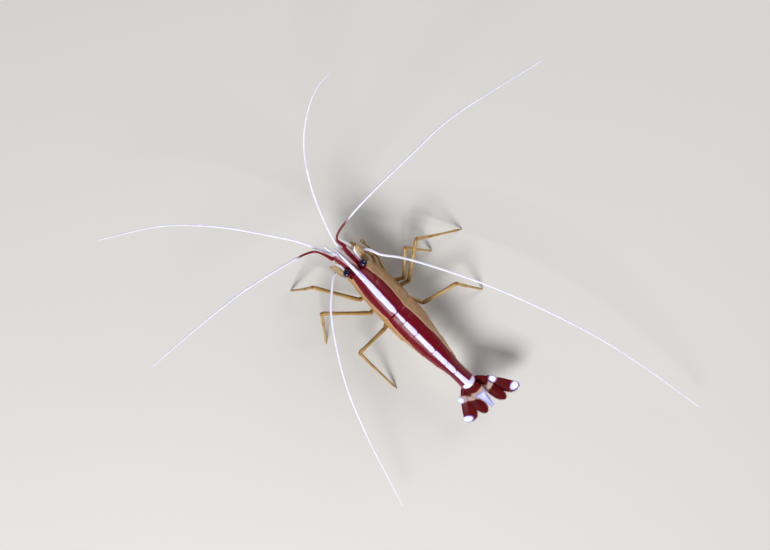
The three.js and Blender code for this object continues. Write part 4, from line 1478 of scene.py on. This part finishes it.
TELSON_HALF_WIDTHS = [(0, 1.3), (0.12, 1.7), (0.34, 1.66), (0.6, 1.05), (1, 0.42)]
TELSON_THICKNESS = [(0, 0.6), (0.3, 0.42), (1, 0.12)]


def telson_place(u, v):
    turn = u * math.tau
    length = 0.1 + 8.7 * v
    point = 0.2 * bump(math.cos(turn), 0, 0.3) * v ** 20
    half_width = between(v, TELSON_HALF_WIDTHS)
    thickness = 0 if at_end(v) else between(v, TELSON_THICKNESS)
    groove = -0.1 * bump(math.cos(turn), 0, 0.18) * max(0, math.sin(turn)) * (1 - v)
    aside = half_width * math.cos(turn) + TELSON_SHIFT * min(1, 3 * v)
    return fan_point(length + point, aside, -0.8 + thickness * math.sin(turn) + groove)


telson = grid_skin("telson_blade", 48, 120, telson_place)
close_skin(telson, 70)
spines = []
for behind, aside in ((4.2, 0.85), (6.2, 0.6)):
    for side in (-1, 1):
        spines.append((fan_point(behind, side * aside, -0.55),
                       fan_point(behind + 0.6, side * aside, -0.4), 0.06))
for aside, reach in ((0.36, 0.25), (0.2, 0.4), (0.07, 0.35)):
    for side in (-1, 1):
        spines.append((fan_point(8.6, side * aside, -0.8),
                       fan_point(8.75 + reach, side * aside * 1.3, -0.8), 0.05))
join_into(telson, [bristle_skin("telson_spines", spines)])
fan_chart(telson, "telson")
hand_in(telson, telson_blade, "tail_shell", "telson")


def blade_width(v, root, wide, peak, tip):
    """Half a blade's width: from the root out to its widest place, then in again to the tip."""
    if v < peak:
        return part_way(root, wide, math.sin(math.pi / 2 * v / peak))
    return part_way(wide, tip, ((v - peak) / (1 - peak)) ** 2)


def blade_maker(kind, side):
    shape = BLADES[kind]
    angle = math.radians(shape["angle"] + side * shape["swing"])

    def place(u, v):
        turn = u * math.tau
        reach = math.cos(turn)
        past = max(0, (v - 1 + shape["tip"]) / shape["tip"])
        close = math.sqrt(max(0, 1 - past * past))
        width = reach * blade_width(v, *shape["outer" if reach > 0 else "inner"]) * close
        if kind == "exopod":
            shoulder = (0.3 if side > 0 else 0.8) * bump(v, 0.16, 0.09)
            width += (0.16 * bump(v, 0.77, 0.014) + shoulder) * bump(reach, 1, 0.3)
        rib = 0.1 * bump(reach, 0.05, 0.16) + (0.08 * bump(reach, 0.8, 0.15) if kind == "exopod" else 0)
        thickness = (0.1 + rib) * (1 - 0.55 * v)
        if at_end(v):
            thickness, width = 0, 0
        crown = 0.25 * (1 - reach * reach) * math.sin(math.pi * min(1, v * 1.1))
        fold = -0.07 * bump(v, 0.8, 0.012) * max(0, math.sin(turn)) if kind == "exopod" else 0
        along = shape["length"] * v
        behind = shape["start"] + along * math.cos(angle) - width * math.sin(angle)
        right = shape["side"] + along * math.sin(angle) + width * math.cos(angle)
        sunk = 0.3 * max(0, 1 - v / 0.22)
        return fan_point(behind, side * right,
                         shape["height"] + thickness * math.sin(turn) + crown + fold - sunk)

    return place


# On the fan, right is positive.
FAN_SIDES = (("left", -1), ("right", 1))
for side_name, side in FAN_SIDES:
    for kind in BLADES:
        place = blade_maker(kind, side)
        blade = grid_skin(f"uropod_{kind}_{side_name}_blade", 64, 140, place)
        close_skin(blade, 70)
        dice = random.Random(7)
        fringe = []
        for edge, start in ((0.5, 0.3), (0.0, 0.79 if kind == "exopod" else 0.3)):
            for n in range(BLADE_HAIRS):
                v = part_way(start, 0.995, (n / (BLADE_HAIRS - 1)) ** 0.7)
                root, after = Vector(place(edge, v)), Vector(place(edge, min(v + 0.01, 0.999)))
                middle = Vector(place(0.25, v))
                heading = (after - root).normalized()
                out = (root - middle).normalized()
                tip = root + (out * 0.45 + heading * 0.55).normalized() * dice.uniform(0.4, 0.55)
                fringe.append((root - out * 0.05, tip, 0.016))
        join_into(blade, [bristle_skin("fringe", fringe)])
        fan_chart(blade, kind)
        hand_in(blade, tail_blades, "tail_shell", f"uropod_{kind}_{side_name}")


BASE_ANGLE = math.radians(42)
BASE_LENGTH = 3.2
BASE_INNER_WIDTH = 2.3
BASE_HALF_THICKNESS = 0.34


def base_maker(side):
    """A flat, round-cornered plate that widens backwards and tucks in under the telson."""

    def place(u, v):
        turn = u * math.tau
        past = abs(2 * v - 1)
        swell = math.sqrt(max(0, 1 - past ** 6))
        reach = math.copysign(abs(math.cos(turn)) ** 0.8, math.cos(turn))
        width = reach * swell * (0.85 + 0.15 * v if reach > 0 else BASE_INNER_WIDTH)
        along = -0.1 + BASE_LENGTH * v
        ridge = 0.14 * bump(reach, 0.3, 0.22) * max(0, math.sin(turn))
        behind = 0.3 + along * math.cos(BASE_ANGLE) - width * math.sin(BASE_ANGLE)
        right = 1.5 + along * math.sin(BASE_ANGLE) + width * math.cos(BASE_ANGLE)
        above = BASE_HALF_THICKNESS * swell * math.sin(turn) + ridge * swell
        return fan_point(behind, side * right, -2.35 + above)

    return place


for side_name, side in FAN_SIDES:
    base = grid_skin(f"uropod_base_{side_name}_shell", 48, 48, base_maker(side))
    close_skin(base)
    fan_chart(base, "base")
    hand_in(base, tail_blades, "tail_shell", f"uropod_base_{side_name}")


# ---- Swimmerets ----
# Five pairs of paddles hang under the abdomen. Each is a short stout stem with two leaf blades,
# thin, pale amber and fringed on both edges with hairs.
SWIMMERET_LENGTHS = [4, 5, 5.2, 4.6, 3.8]
SWIMMERET_LEAN = math.radians(24)
SWIMMERET_RADII = [0.42, 0.4]
LEAF_SPREADS = (0.22, -0.22)
swimmer_amber = amber_finish("swimmeret_amber", (222, 190, 140), (206, 164, 112), (178, 100, 76))
for number, length in enumerate(SWIMMERET_LENGTHS):
    run = ring_start(number) + RING_LENGTHS[number] * 0.66
    depth = (RING_DEPTHS[number] + RING_DEPTHS[number + 1]) / 2
    half_width = (RING_WIDTHS[number] + RING_WIDTHS[number + 1]) / 2
    heading = Vector((-math.sin(SWIMMERET_LEAN), 0, -math.cos(SWIMMERET_LEAN)))
    for side_name, side in SIDES:
        root = Vector(back_point(run, side * 0.34 * half_width, depth * 0.72))
        stem_end = root + heading * (depth * 0.08 + 0.3 + length * 0.3)
        paddle = f"swimmeret_{number + 1}_{side_name}"
        stem = limb_skin(f"{paddle}_paddle", [root, stem_end], SWIMMERET_RADII, sides=12)
        leaves = [leaf_skin("leaf", stem_end - heading * 0.15 + Vector((0, spread, 0)),
                            (heading + Vector((0, spread * 0.25, 0))).normalized(), Vector((0, 1, 0)),
                            length * 0.72, 0.13 * half_width + 0.18) for spread in LEAF_SPREADS]
        join_into(stem, leaves)
        hand_in(stem, swimmer_amber, "amber_limb", paddle)


# The last lines find the box of everything shown but the floor.
low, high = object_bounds()
